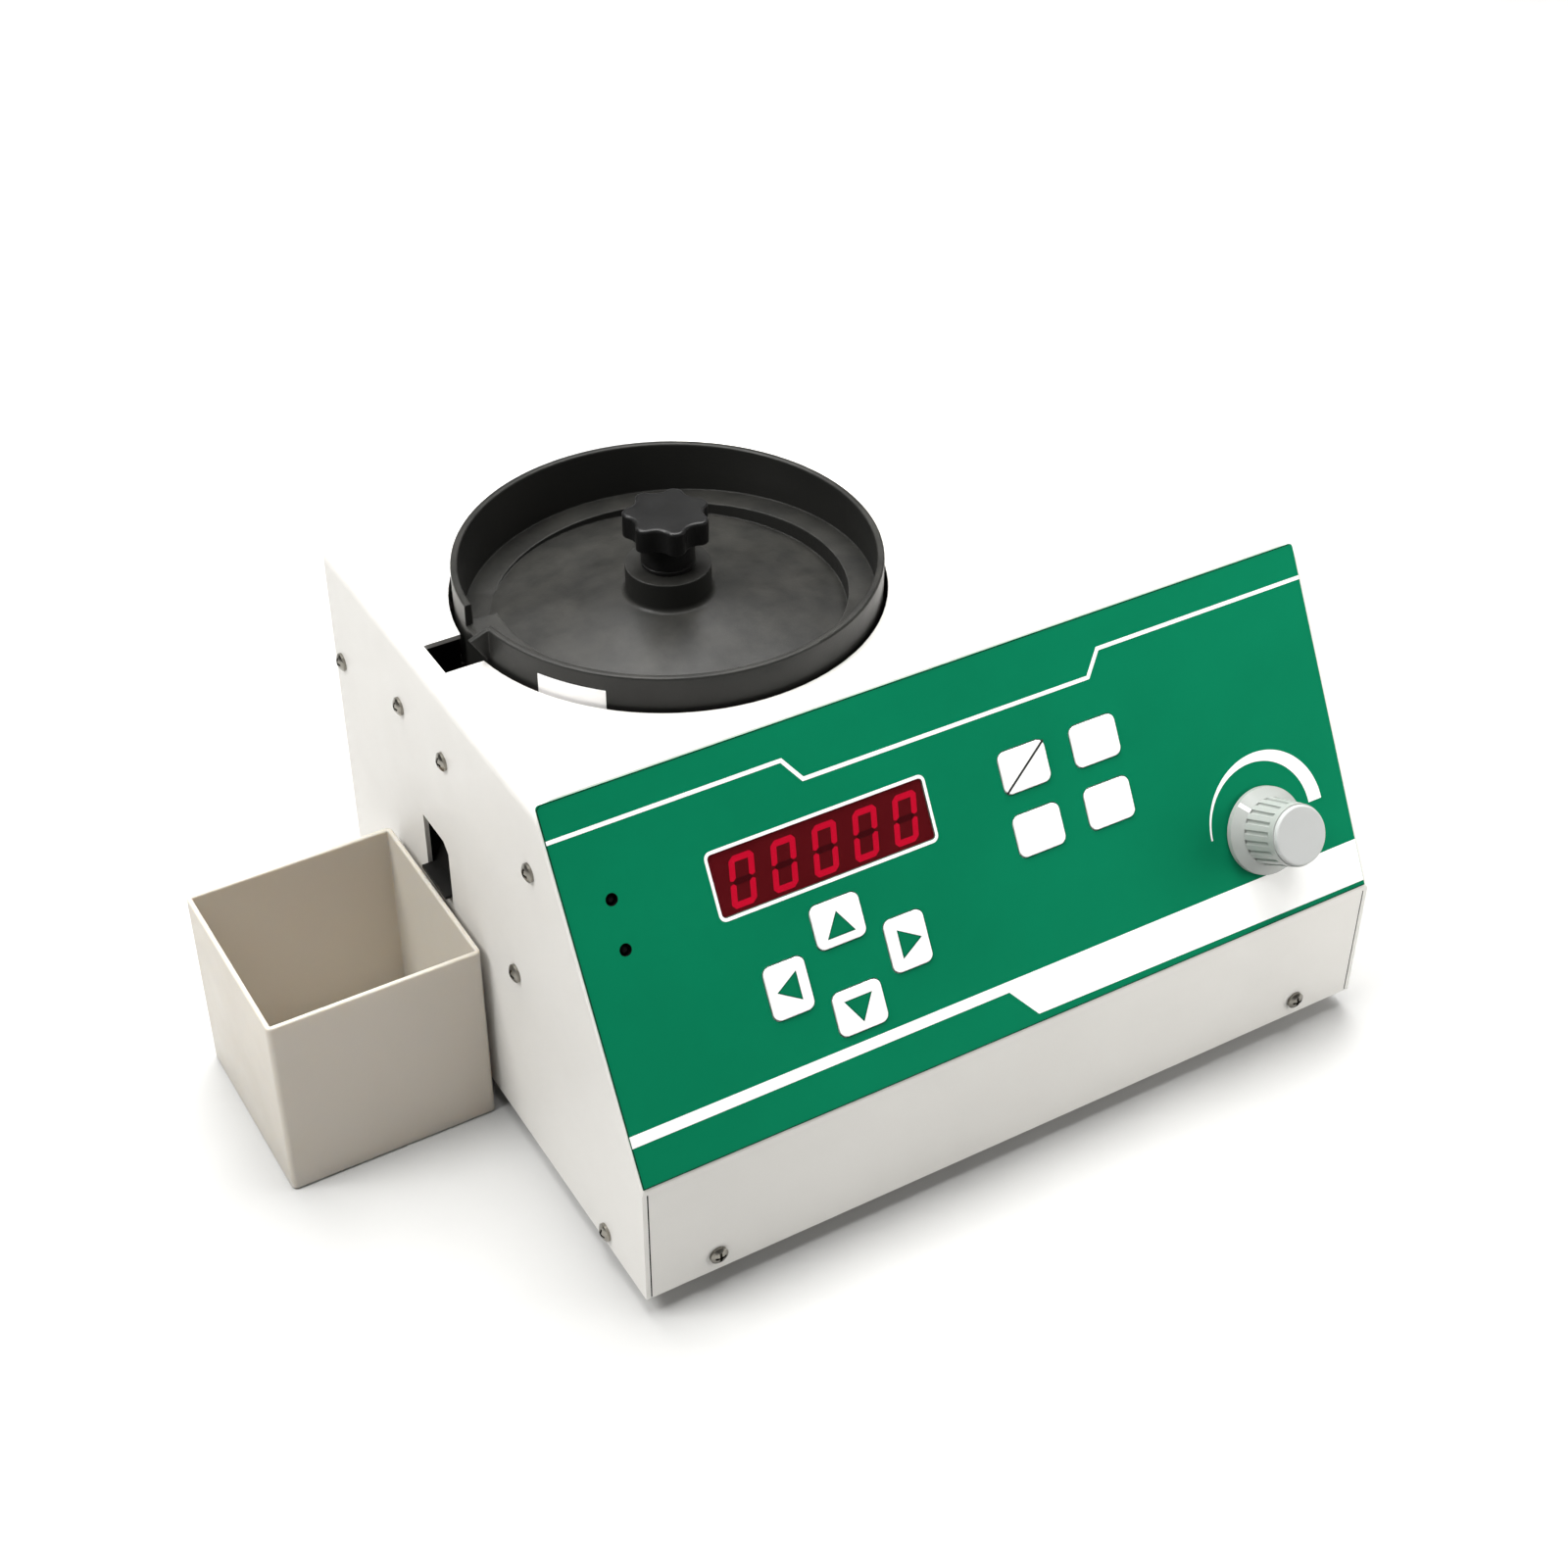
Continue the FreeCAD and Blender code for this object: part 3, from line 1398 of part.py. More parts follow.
def mains_leads():
    """Pair from the power inlet down to the transformer winding."""
    start_y = rear_face_y - inlet_body_depth
    end_y = transformer_y + transformer_depth / 2 + winding_reach
    high_z = base_floor_z + transformer_height / 2
    leads = []
    for side in (-lead_spacing, lead_spacing):
        x = inlet_x + side
        turn_y = (start_y + end_y) / 2
        route = [(x, start_y, fitting_z), (x, turn_y, fitting_z), (x, turn_y, high_z), (x, end_y, high_z)]
        leads.append(lead(route, lead_radius, (start_y - end_y) / 2 - lead_radius))
    return leads


def wiring_leads():
    return Part.Compound(coil_leads() + sensor_leads() + supply_leads() + mains_leads())


def ribbon_cable():
    """Flat cable from the front header, up and forward to the back of the control board."""
    low, high = ribbon_header()
    y = (low[1] + high[1]) / 2
    half = ribbon_thickness / 2
    meet_y, meet_z = panel_point(control_board_v[0] + 2 * standoff_inset, board_face - board_thickness)
    end_y = meet_y + half * slant_cos / slant_sin
    outline = [(low[0], y - half, high[2]), (low[0], y + half, high[2]),
               (low[0], y + half, meet_z + half), (low[0], end_y, meet_z + half),
               (low[0], end_y, meet_z - half), (low[0], y - half, meet_z - half)]
    return prism(outline, V(ribbon_width, 0, 0))


# Bin
def collection_bin():
    x = -bin_gap - bin_width / 2
    y = bin_front_y + bin_depth / 2
    outer = rounded_plate((x, y), (bin_width, bin_depth), bin_corner_radius, 0, bin_height)
    inner_size = (bin_width - 2 * bin_wall, bin_depth - 2 * bin_wall)
    inner = rounded_plate((x, y), inner_size, bin_corner_radius, bin_floor, bin_height + past)
    return outer.cut(inner)


def build_nodes():
    makers = [housing_cover, base_plate, rear_panel, rubber_feet, foot_screws, case_screws, panel_overlay,
              display_window, display_digits, indicator_lights, key_switches, control_board,
              board_standoffs, board_bracket, vibration_knob, knob_cap, potentiometer,
              potentiometer_shaft, potentiometer_nut, bowl, bowl_label, clamp_knob, clamp_washer,
              clamp_stud, bowl_seat, armature_plate, armature, leaf_springs, spring_clamps_lower,
              spring_clamps_upper, magnet_core, magnet_coil, vibrator_base, vibrator_isolators,
              drop_chute, sensor_emitter, sensor_receiver, main_board, main_board_components,
              transformer_core, transformer_winding, power_inlet, inlet_pins,
              fuse_holder, fuse_cap, power_switch, power_rocker, wiring_leads, ribbon_cable, collection_bin]
    nodes = {maker.__name__: maker() for maker in makers}
    for name, center, size in key_places():
        nodes[name] = key(center, size)
    return nodes


def origin_shift(nodes):
    """Move from the building corner to the middle of the whole footprint."""
    box = Part.Compound(list(nodes.values())).optimalBoundingBox(False)
    return V(-(box.XMin + box.XMax) / 2, -(box.YMin + box.YMax) / 2, -box.ZMin)


if __name__ == "__main__":
    os.makedirs("parts", exist_ok=True)
    machine = build_nodes()
    shift = origin_shift(machine)
    for name, shape in machine.items():
        shape.translate(shift)
        shape.exportStep(f"parts/{name}.step")
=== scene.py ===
import json
import math

import bmesh
import bpy
from mathutils import Matrix, Vector


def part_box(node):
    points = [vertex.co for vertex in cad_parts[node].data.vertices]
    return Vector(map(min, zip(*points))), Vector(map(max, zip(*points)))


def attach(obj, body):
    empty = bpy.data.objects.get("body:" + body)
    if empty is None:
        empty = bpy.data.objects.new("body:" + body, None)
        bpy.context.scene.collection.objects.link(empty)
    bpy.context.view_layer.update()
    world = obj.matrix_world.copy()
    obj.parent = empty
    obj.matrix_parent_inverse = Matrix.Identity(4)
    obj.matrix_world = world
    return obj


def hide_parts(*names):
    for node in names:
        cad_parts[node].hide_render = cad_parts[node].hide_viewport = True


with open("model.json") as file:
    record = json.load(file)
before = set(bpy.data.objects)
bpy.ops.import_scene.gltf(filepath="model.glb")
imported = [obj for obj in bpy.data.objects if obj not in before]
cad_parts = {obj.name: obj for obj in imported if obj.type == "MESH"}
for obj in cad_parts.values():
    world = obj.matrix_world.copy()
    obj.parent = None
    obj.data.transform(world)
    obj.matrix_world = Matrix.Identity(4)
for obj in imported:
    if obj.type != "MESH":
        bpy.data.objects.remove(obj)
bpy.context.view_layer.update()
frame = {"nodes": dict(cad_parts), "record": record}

nodes = frame["nodes"]
MM = 0.001

# Lower left front corner of the case, on the table
case_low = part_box("housing_cover")[0]
case_corner = Vector((case_low.x, case_low.y, 0.0))

# Slanted panel: x across, v up the slant, h outwards, all in millimetres from its lower left corner.
strip_top_z = 51.5
slant_run = 56.5
slant_rise = 98.5
slant_length = math.hypot(slant_run, slant_rise)
slant_cos = slant_run / slant_length
slant_sin = slant_rise / slant_length
film_top = 0.5
key_top = 1.0
ink = 0.06
case_width = 260.0
case_wall = 1.5
seam_width = 0.45


def panel_point(x, v, h):
    y = v * slant_cos - h * slant_sin
    z = strip_top_z + v * slant_sin + h * slant_cos
    return case_corner + Vector((x, y, z)) * MM


def panel_matrix(x, v, h):
    """From metres (across, up the slant, outwards) at a panel place to the part's own frame."""
    turn = Matrix(((1, 0, 0), (0, slant_cos, -slant_sin), (0, slant_sin, slant_cos))).to_4x4()
    return Matrix.Translation(panel_point(x, v, h)) @ turn


# Pieces
def piece(name, mesh, body, finish):
    """One visible piece at the origin, its place in its mesh."""
    mesh.name = name
    mesh.materials.clear()
    mesh.materials.append(finish)
    obj = bpy.data.objects.new(name, mesh)
    bpy.context.scene.collection.objects.link(obj)
    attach(obj, body)
    return obj


def mesh_of(bm):
    bmesh.ops.recalc_face_normals(bm, faces=bm.faces)
    mesh = bpy.data.meshes.new("piece")
    bm.to_mesh(mesh)
    bm.free()
    return mesh


def add_ribbon(bm, first, second, low, high, place, closed=False):
    """Thin closed slab between two edges of equal counts of (x, v) points."""
    rows = []
    for (xa, va), (xb, vb) in zip(first, second):
        corners = ((xa, va, high), (xb, vb, high), (xb, vb, low), (xa, va, low))
        rows.append([bm.verts.new(place(*corner)) for corner in corners])
    following = rows[1:] + rows[:1] if closed else rows[1:]
    for near, far in zip(rows, following):
        for i in range(4):
            j = (i + 1) % 4
            bm.faces.new((near[i], near[j], far[j], far[i]))
    if not closed:
        bm.faces.new(rows[0])
        bm.faces.new(rows[-1])


def add_plate(bm, outline, low, high, place):
    """Thin closed slab over a convex outline of (x, v) points."""
    tops = [bm.verts.new(place(x, v, high)) for x, v in outline]
    bottoms = [bm.verts.new(place(x, v, low)) for x, v in outline]
    bm.faces.new(tops)
    bm.faces.new(bottoms)
    for i in range(len(outline)):
        j = (i + 1) % len(outline)
        bm.faces.new((tops[i], tops[j], bottoms[j], bottoms[i]))


def stroke_edges(points, width):
    """Both edges of a line of even width with mitred corners."""
    left, right = [], []
    for i, (x, v) in enumerate(points):
        before = Vector(points[max(i - 1, 0)])
        after = Vector(points[min(i + 1, len(points) - 1)])
        here = Vector((x, v))
        into = (here - before).normalized() if i else (after - here).normalized()
        out = (after - here).normalized() if i < len(points) - 1 else into
        bisector = (into + out).normalized()
        side = Vector((-bisector.y, bisector.x)) * (width / 2 / bisector.dot(into))
        left.append(tuple(here + side))
        right.append(tuple(here - side))
    return left, right


def rounded_loop(center, size, radius, steps=6):
    """Points round a rectangle with rounded corners."""
    points = []
    for index, (sx, sv) in enumerate(((1, 1), (-1, 1), (-1, -1), (1, -1))):
        cx = center[0] + sx * (size[0] / 2 - radius)
        cv = center[1] + sv * (size[1] / 2 - radius)
        for step in range(steps + 1):
            angle = math.radians(90 * index + 90 * step / steps)
            points.append((cx + radius * math.cos(angle), cv + radius * math.sin(angle)))
    return points


# Repeats: copies on points, made real, with one material
def repeat_tree(name, sizes):
    tree = bpy.data.node_groups.new(name, "GeometryNodeTree")
    tree.interface.new_socket("Geometry", in_out="INPUT", socket_type="NodeSocketGeometry")
    for label, kind in sizes:
        tree.interface.new_socket(label, in_out="INPUT", socket_type=kind)
    tree.interface.new_socket("Finish", in_out="INPUT", socket_type="NodeSocketMaterial")
    tree.interface.new_socket("Geometry", in_out="OUTPUT", socket_type="NodeSocketGeometry")
    start = tree.nodes.new("NodeGroupInput")
    spread = tree.nodes.new("GeometryNodeInstanceOnPoints")
    real = tree.nodes.new("GeometryNodeRealizeInstances")
    coat = tree.nodes.new("GeometryNodeSetMaterial")
    end = tree.nodes.new("NodeGroupOutput")
    tree.links.new(start.outputs["Geometry"], spread.inputs["Instance"])
    tree.links.new(spread.outputs["Instances"], real.inputs["Geometry"])
    tree.links.new(real.outputs["Geometry"], coat.inputs["Geometry"])
    tree.links.new(start.outputs["Finish"], coat.inputs["Material"])
    tree.links.new(coat.outputs["Geometry"], end.inputs["Geometry"])
    return tree, start, spread


def row_tree():
    """Copies of the mesh in a row along X, the row's middle at the origin."""
    tree, start, spread = repeat_tree("even_row", (("Count", "NodeSocketInt"), ("Pitch", "NodeSocketFloat")))
    line = tree.nodes.new("GeometryNodeMeshLine")
    step = tree.nodes.new("ShaderNodeCombineXYZ")
    gaps = tree.nodes.new("ShaderNodeMath")
    gaps.operation = "SUBTRACT"
    gaps.inputs[1].default_value = 1.0
    span = tree.nodes.new("ShaderNodeMath")
    span.operation = "MULTIPLY"
    lead = tree.nodes.new("ShaderNodeMath")
    lead.operation = "MULTIPLY"
    lead.inputs[1].default_value = -0.5
    first = tree.nodes.new("ShaderNodeCombineXYZ")
    tree.links.new(start.outputs["Count"], line.inputs["Count"])
    tree.links.new(start.outputs["Pitch"], step.inputs["X"])
    tree.links.new(step.outputs["Vector"], line.inputs["Offset"])
    tree.links.new(start.outputs["Count"], gaps.inputs[0])
    tree.links.new(gaps.outputs[0], span.inputs[0])
    tree.links.new(start.outputs["Pitch"], span.inputs[1])
    tree.links.new(span.outputs[0], lead.inputs[0])
    tree.links.new(lead.outputs[0], first.inputs["X"])
    tree.links.new(first.outputs["Vector"], line.inputs["Start Location"])
    tree.links.new(line.outputs["Mesh"], spread.inputs["Points"])
    return tree


def repeated(mesh, tree, values):
    """Plain mesh of a repeat tree run on a mesh."""
    carrier = bpy.data.objects.new("carrier", mesh)
    bpy.context.scene.collection.objects.link(carrier)
    modifier = carrier.modifiers.new("repeat", "NODES")
    modifier.node_group = tree
    for item in tree.interface.items_tree:
        if item.in_out == "INPUT" and item.name in values:
            modifier[item.identifier] = values[item.name]
    graph = bpy.context.evaluated_depsgraph_get()
    result = bpy.data.meshes.new_from_object(carrier.evaluated_get(graph))
    carrier.modifiers.remove(modifier)
    bpy.data.objects.remove(carrier)
    bpy.data.meshes.remove(mesh)
    return result


# Shader groups
VECTOR, NUMBER, COLOUR = "NodeSocketVector", "NodeSocketFloat", "NodeSocketColor"
MIX_FIRST, MIX_SECOND, MIX_RESULT = 6, 7, 2
cloud_scale = 18.0
cloud_range = (0.35, 0.65)
smear_scale = 55.0
smear_range = (0.3, 0.7)
dust_scale = 70.0
dust_range = (0.38, 0.72)
dust_tone = (0.34, 0.32, 0.28)
upward_range = (0.4, 0.95)
# Edge tone: the lighter tone along rounded edges is partly rubbed wear and partly a painted highlight
edge_radius = 0.0007
edge_samples = 4
edge_range = (0.985, 0.84)
edge_patch_scale = 140.0
edge_patch_range = (0.3, 0.62)
least_edge_patch = 0.35


def shader_group(name, inputs, outputs):
    group = bpy.data.node_groups.new(name, "ShaderNodeTree")
    for label, kind, value in inputs:
        socket = group.interface.new_socket(label, in_out="INPUT", socket_type=kind)
        if value is not None:
            socket.default_value = value
    for label, kind in outputs:
        group.interface.new_socket(label, in_out="OUTPUT", socket_type=kind)
    return group, group.nodes.new("NodeGroupInput"), group.nodes.new("NodeGroupOutput")


def noise(tree, vector, scale, detail=3.0, roughness=0.55):
    node = tree.nodes.new("ShaderNodeTexNoise")
    node.inputs["Detail"].default_value = detail
    node.inputs["Roughness"].default_value = roughness
    tree.links.new(vector, node.inputs["Vector"])
    if isinstance(scale, float):
        node.inputs["Scale"].default_value = scale
    else:
        tree.links.new(scale, node.inputs["Scale"])
    return node.outputs["Fac"]


def spread_value(tree, value, from_low, from_high, to_low, to_high):
    node = tree.nodes.new("ShaderNodeMapRange")
    tree.links.new(value, node.inputs["Value"])
    for label, number in (("From Min", from_low), ("From Max", from_high)):
        node.inputs[label].default_value = number
    for label, number in (("To Min", to_low), ("To Max", to_high)):
        if isinstance(number, float):
            node.inputs[label].default_value = number
        else:
            tree.links.new(number, node.inputs[label])
    return node.outputs["Result"]


def multiplied(tree, first, second):
    node = tree.nodes.new("ShaderNodeMath")
    node.operation = "MULTIPLY"
    tree.links.new(first, node.inputs[0])
    tree.links.new(second, node.inputs[1])
    return node.outputs[0]


def blend_colour(tree, factor, first, second):
    node = tree.nodes.new("ShaderNodeMix")
    node.data_type = "RGBA"
    tree.links.new(factor, node.inputs["Factor"])
    for index, colour in ((MIX_FIRST, first), (MIX_SECOND, second)):
        if isinstance(colour, tuple):
            node.inputs[index].default_value = (*colour, 1.0)
        else:
            tree.links.new(colour, node.inputs[index])
    return node.outputs[MIX_RESULT]


def surface_grain_group():
    """Fine surface grain with slow changes of tone: a tinted colour, a roughness and a bump height."""
    group, start, end = shader_group(
        "surface_grain",
        (("Place", VECTOR, None), ("Grain Scale", NUMBER, 900.0), ("Light Tone", COLOUR, None),
         ("Dark Tone", COLOUR, None), ("Smooth", NUMBER, 0.35), ("Rough", NUMBER, 0.5)),
        (("Colour", COLOUR), ("Roughness", NUMBER), ("Height", NUMBER)))
    place = start.outputs["Place"]
    grain = noise(group, place, start.outputs["Grain Scale"], detail=2.0)
    cloud = noise(group, place, cloud_scale, detail=4.0)
    tone = spread_value(group, cloud, *cloud_range, 0.0, 1.0)
    mixed = blend_colour(group, tone, start.outputs["Light Tone"], start.outputs["Dark Tone"])
    smear = noise(group, place, smear_scale)
    rough = spread_value(group, smear, *smear_range, start.outputs["Smooth"], start.outputs["Rough"])
    group.links.new(mixed, end.inputs["Colour"])
    group.links.new(rough, end.inputs["Roughness"])
    group.links.new(grain, end.inputs["Height"])
    return group


def settled_dust_group():
    """Dust that lies on faces that look up, in soft patches."""
    group, start, end = shader_group(
        "settled_dust",
        (("Place", VECTOR, None), ("Colour", COLOUR, None), ("Dust", COLOUR, None), ("Amount", NUMBER, 0.2)),
        (("Colour", COLOUR),))
    facing = group.nodes.new("ShaderNodeNewGeometry")
    split = group.nodes.new("ShaderNodeSeparateXYZ")
    group.links.new(facing.outputs["Normal"], split.inputs["Vector"])
    upward = spread_value(group, split.outputs["Z"], *upward_range, 0.0, 1.0)
    patch = noise(group, start.outputs["Place"], dust_scale, detail=5.0, roughness=0.65)
    patchy = spread_value(group, patch, *dust_range, 0.0, 1.0)
    lying = multiplied(group, multiplied(group, upward, patchy), start.outputs["Amount"])
    mixed = blend_colour(group, lying, start.outputs["Colour"], start.outputs["Dust"])
    group.links.new(mixed, end.inputs["Colour"])
    return group


def edge_highlight_and_wear_group():
    """Rounded edge with a lighter tone along it, partly rubbed wear and partly a painted highlight, broken up
    along its length.
    """
    group, start, end = shader_group(
        "edge_highlight_and_wear",
        (("Place", VECTOR, None), ("Colour", COLOUR, None), ("Highlight_And_Worn", COLOUR, None), ("Amount", NUMBER, 0.3)),
        (("Colour", COLOUR), ("Normal", VECTOR)))
    smoothed = group.nodes.new("ShaderNodeBevel")
    smoothed.samples = edge_samples
    smoothed.inputs["Radius"].default_value = edge_radius
    facing = group.nodes.new("ShaderNodeNewGeometry")
    along = group.nodes.new("ShaderNodeVectorMath")
    along.operation = "DOT_PRODUCT"
    group.links.new(smoothed.outputs["Normal"], along.inputs[0])
    group.links.new(facing.outputs["Normal"], along.inputs[1])
    edge = spread_value(group, along.outputs["Value"], *edge_range, 0.0, 1.0)
    patch = noise(group, start.outputs["Place"], edge_patch_scale, detail=4.0, roughness=0.6)
    edge_patches = spread_value(group, patch, *edge_patch_range, least_edge_patch, 1.0)
    mask = multiplied(group, multiplied(group, edge, edge_patches), start.outputs["Amount"])
    mixed = blend_colour(group, mask, start.outputs["Colour"], start.outputs["Highlight_And_Worn"])
    group.links.new(mixed, end.inputs["Colour"])
    group.links.new(smoothed.outputs["Normal"], end.inputs["Normal"])
    return group


surface_grain = surface_grain_group()
settled_dust = settled_dust_group()
edge_highlight_and_wear = edge_highlight_and_wear_group()


def layered(tree, group, place, colour, label, tone, amount):
    """Group node that lays one more tone over a colour."""
    layer = tree.nodes.new("ShaderNodeGroup")
    layer.node_tree = group
    layer.inputs[label].default_value = (*tone, 1.0)
    layer.inputs["Amount"].default_value = amount
    tree.links.new(place, layer.inputs["Place"])
    tree.links.new(colour, layer.inputs["Colour"])
    return layer


def finish(name, light, dark, rough=(0.35, 0.5), grain=900.0, bump=0.05, depth=0.0001, dust=0.0, lit_and_worn_edge=None,
           **shader_values):
    """Material of one grained colour with its own gloss, bump, dust, and edges lightened by rubbed wear and a
    painted highlight.
    """
    material = bpy.data.materials.new(name)
    material.use_nodes = True
    tree = material.node_tree
    shader = tree.nodes["Principled BSDF"]
    place = tree.nodes.new("ShaderNodeTexCoord").outputs["Object"]
    coat = tree.nodes.new("ShaderNodeGroup")
    coat.node_tree = surface_grain
    coat.inputs["Grain Scale"].default_value = grain
    coat.inputs["Light Tone"].default_value = (*light, 1.0)
    coat.inputs["Dark Tone"].default_value = (*dark, 1.0)
    coat.inputs["Smooth"].default_value = rough[0]
    coat.inputs["Rough"].default_value = rough[1]
    tree.links.new(place, coat.inputs["Place"])
    relief = tree.nodes.new("ShaderNodeBump")
    relief.inputs["Strength"].default_value = bump
    relief.inputs["Distance"].default_value = depth
    tree.links.new(coat.outputs["Height"], relief.inputs["Height"])
    tree.links.new(relief.outputs["Normal"], shader.inputs["Normal"])
    tree.links.new(coat.outputs["Roughness"], shader.inputs["Roughness"])
    colour = coat.outputs["Colour"]
    if dust:
        settled = layered(tree, settled_dust, place, colour, "Dust", dust_tone, dust)
        colour = settled.outputs["Colour"]
    # Painted highlight with wear: a lighter tone on rounded edges stands in for light caught by the edge as
    # well as rubbing
    if lit_and_worn_edge:
        edges = layered(tree, edge_highlight_and_wear, place, colour, "Highlight_And_Worn", *lit_and_worn_edge)
        colour = edges.outputs["Colour"]
        tree.links.new(edges.outputs["Normal"], relief.inputs["Normal"])
    tree.links.new(colour, shader.inputs["Base Color"])
    for label, value in shader_values.items():
        shader.inputs[label.replace("_", " ")].default_value = value
    return material


# Finishes
cover_paint = finish("cover_paint", light=(0.725, 0.71, 0.68), dark=(0.70, 0.685, 0.655), rough=(0.42, 0.55),
                     grain=1100.0, bump=0.12, depth=0.0002)
overlay_film = finish("overlay_film", light=(0.0020, 0.163, 0.0755), dark=(0.0018, 0.150, 0.069),
                      rough=(0.45, 0.58), grain=2200.0, bump=0.06, Specular_IOR_Level=0.03)
print_white = finish("print_white", light=(0.93, 0.93, 0.92), dark=(0.90, 0.90, 0.89), rough=(0.45, 0.58),
                     grain=1800.0, bump=0.04)
key_plastic = finish("key_plastic", light=(0.93, 0.92, 0.91), dark=(0.90, 0.89, 0.88), rough=(0.35, 0.48),
                     grain=1500.0, bump=0.06)
arrow_green = finish("arrow_green", light=(0.0024, 0.150, 0.068), dark=(0.0022, 0.142, 0.064),
                     rough=(0.45, 0.58), grain=1800.0, bump=0.04, Specular_IOR_Level=0.03)
arrow_edge = finish("arrow_edge", light=(0.003, 0.090, 0.045), dark=(0.003, 0.080, 0.040), rough=(0.45, 0.58),
                    grain=1800.0, bump=0.04, Specular_IOR_Level=0.03)
# Dark green for the painted shade line along the film's edge
edge_shade_ink = finish("edge_shade_ink", light=(0.003, 0.022, 0.012), dark=(0.002, 0.016, 0.009), rough=(0.45, 0.58),
                   grain=1800.0, bump=0.04, Specular_IOR_Level=0.1)
line_dark = finish("line_dark", light=(0.02, 0.022, 0.02), dark=(0.015, 0.016, 0.015), rough=(0.4, 0.5),
                   grain=1800.0, bump=0.04)
bowl_black = finish("bowl_black", light=(0.018, 0.018, 0.0165), dark=(0.014, 0.014, 0.013),
                    rough=(0.30, 0.46), grain=1300.0, bump=0.15, depth=0.0002, dust=0.05,
                    lit_and_worn_edge=((0.10, 0.10, 0.095), 0.45), Specular_IOR_Level=0.24)
star_black = finish("star_black", light=(0.008, 0.008, 0.008), dark=(0.006, 0.006, 0.006), rough=(0.26, 0.38),
                    grain=1500.0, bump=0.08, lit_and_worn_edge=((0.10, 0.10, 0.095), 0.45), Specular_IOR_Level=0.32)
# Partly painted shade: the knob body is a darker grey than its cap to stand in for shade on its sloping skirt
knob_grey = finish("knob_grey", light=(0.33, 0.345, 0.33), dark=(0.30, 0.315, 0.30), rough=(0.26, 0.38),
                   grain=1500.0, bump=0.05)
cap_grey = finish("cap_grey", light=(0.43, 0.44, 0.435), dark=(0.41, 0.42, 0.415), rough=(0.30, 0.42),
                  grain=1500.0, bump=0.05)
bin_cream = finish("bin_cream", light=(0.51, 0.48, 0.426), dark=(0.505, 0.475, 0.42), rough=(0.30, 0.44),
                   grain=1200.0, bump=0.08, lit_and_worn_edge=((0.74, 0.72, 0.68), 0.5), Subsurface_Weight=0.35,
                   Subsurface_Radius=(1.0, 0.8, 0.5), Subsurface_Scale=0.004)
screw_steel = finish("screw_steel", light=(0.36, 0.34, 0.30), dark=(0.22, 0.21, 0.185), rough=(0.18, 0.34),
                     grain=2500.0, bump=0.15, Metallic=1.0)
foot_rubber = finish("foot_rubber", light=(0.022, 0.022, 0.022), dark=(0.016, 0.016, 0.016),
                     rough=(0.65, 0.85), grain=1600.0, bump=0.2)
label_paper = finish("label_paper", light=(0.98, 0.965, 0.96), dark=(0.96, 0.945, 0.94), rough=(0.6, 0.75),
                     grain=2400.0, bump=0.08)
digit_face = finish("digit_face", light=(0.15, 0.012, 0.014), dark=(0.13, 0.010, 0.012), rough=(0.5, 0.6),
                    grain=1500.0, bump=0.05)
lens_dark = finish("lens_dark", light=(0.004, 0.0035, 0.0035), dark=(0.003, 0.0025, 0.0025), rough=(0.4, 0.5),
                   grain=900.0, bump=0.02, Specular_IOR_Level=0.1)
chute_plastic = finish("chute_plastic", light=(0.006, 0.0056, 0.0052), dark=(0.004, 0.0038, 0.0035),
                       rough=(0.4, 0.6), grain=1300.0, bump=0.1, depth=0.0002, dust=0.02,
                       Specular_IOR_Level=0.15)
fitting_black = finish("fitting_black", light=(0.022, 0.022, 0.023), dark=(0.016, 0.016, 0.017),
                       rough=(0.28, 0.42), grain=1500.0, bump=0.08)
pin_brass = finish("pin_brass", light=(0.62, 0.50, 0.24), dark=(0.52, 0.40, 0.18), rough=(0.22, 0.36),
                   grain=1800.0, bump=0.1, Metallic=1.0)
plated_steel = finish("plated_steel", light=(0.60, 0.60, 0.57), dark=(0.48, 0.48, 0.45), rough=(0.25, 0.42),
                      grain=1500.0, bump=0.1, Metallic=1.0)
board_laminate = finish("board_laminate", light=(0.03, 0.19, 0.08), dark=(0.02, 0.13, 0.05),
                        rough=(0.3, 0.45), grain=900.0, bump=0.1)
inner_plastic = finish("inner_plastic", light=(0.045, 0.045, 0.045), dark=(0.03, 0.03, 0.03),
                       rough=(0.4, 0.55), grain=900.0, bump=0.1)
drive_aluminium = finish("drive_aluminium", light=(0.70, 0.70, 0.69), dark=(0.60, 0.60, 0.59),
                         rough=(0.25, 0.4), grain=900.0, bump=0.1, Metallic=1.0)
drive_iron = finish("drive_iron", light=(0.14, 0.14, 0.14), dark=(0.09, 0.09, 0.09), rough=(0.45, 0.65),
                    grain=900.0, bump=0.2)
copper_winding = finish("copper_winding", light=(0.55, 0.24, 0.10), dark=(0.42, 0.17, 0.07), rough=(0.3, 0.5),
                        grain=900.0, bump=0.2, Metallic=1.0)
display_filter = finish("display_filter", light=(0.050, 0.004, 0.005), dark=(0.044, 0.003, 0.004),
                        rough=(0.16, 0.24), grain=600.0, bump=0.01, Alpha=0.30, Specular_IOR_Level=0.05)
display_film = finish("display_film", light=(0.125, 0.0060, 0.0095), dark=(0.110, 0.0052, 0.0080),
                      rough=(0.5, 0.6), grain=1500.0, bump=0.03, Specular_IOR_Level=0.05)
segment_dim = finish("segment_dim", light=(0.055, 0.004, 0.006), dark=(0.045, 0.003, 0.005), rough=(0.5, 0.6),
                     grain=1500.0, bump=0.03, Specular_IOR_Level=0.05)

lit_glow = 0.65
glow_grain = 700.0
glow_low = (0.64, 0.003, 0.030)
glow_high = (0.78, 0.004, 0.040)


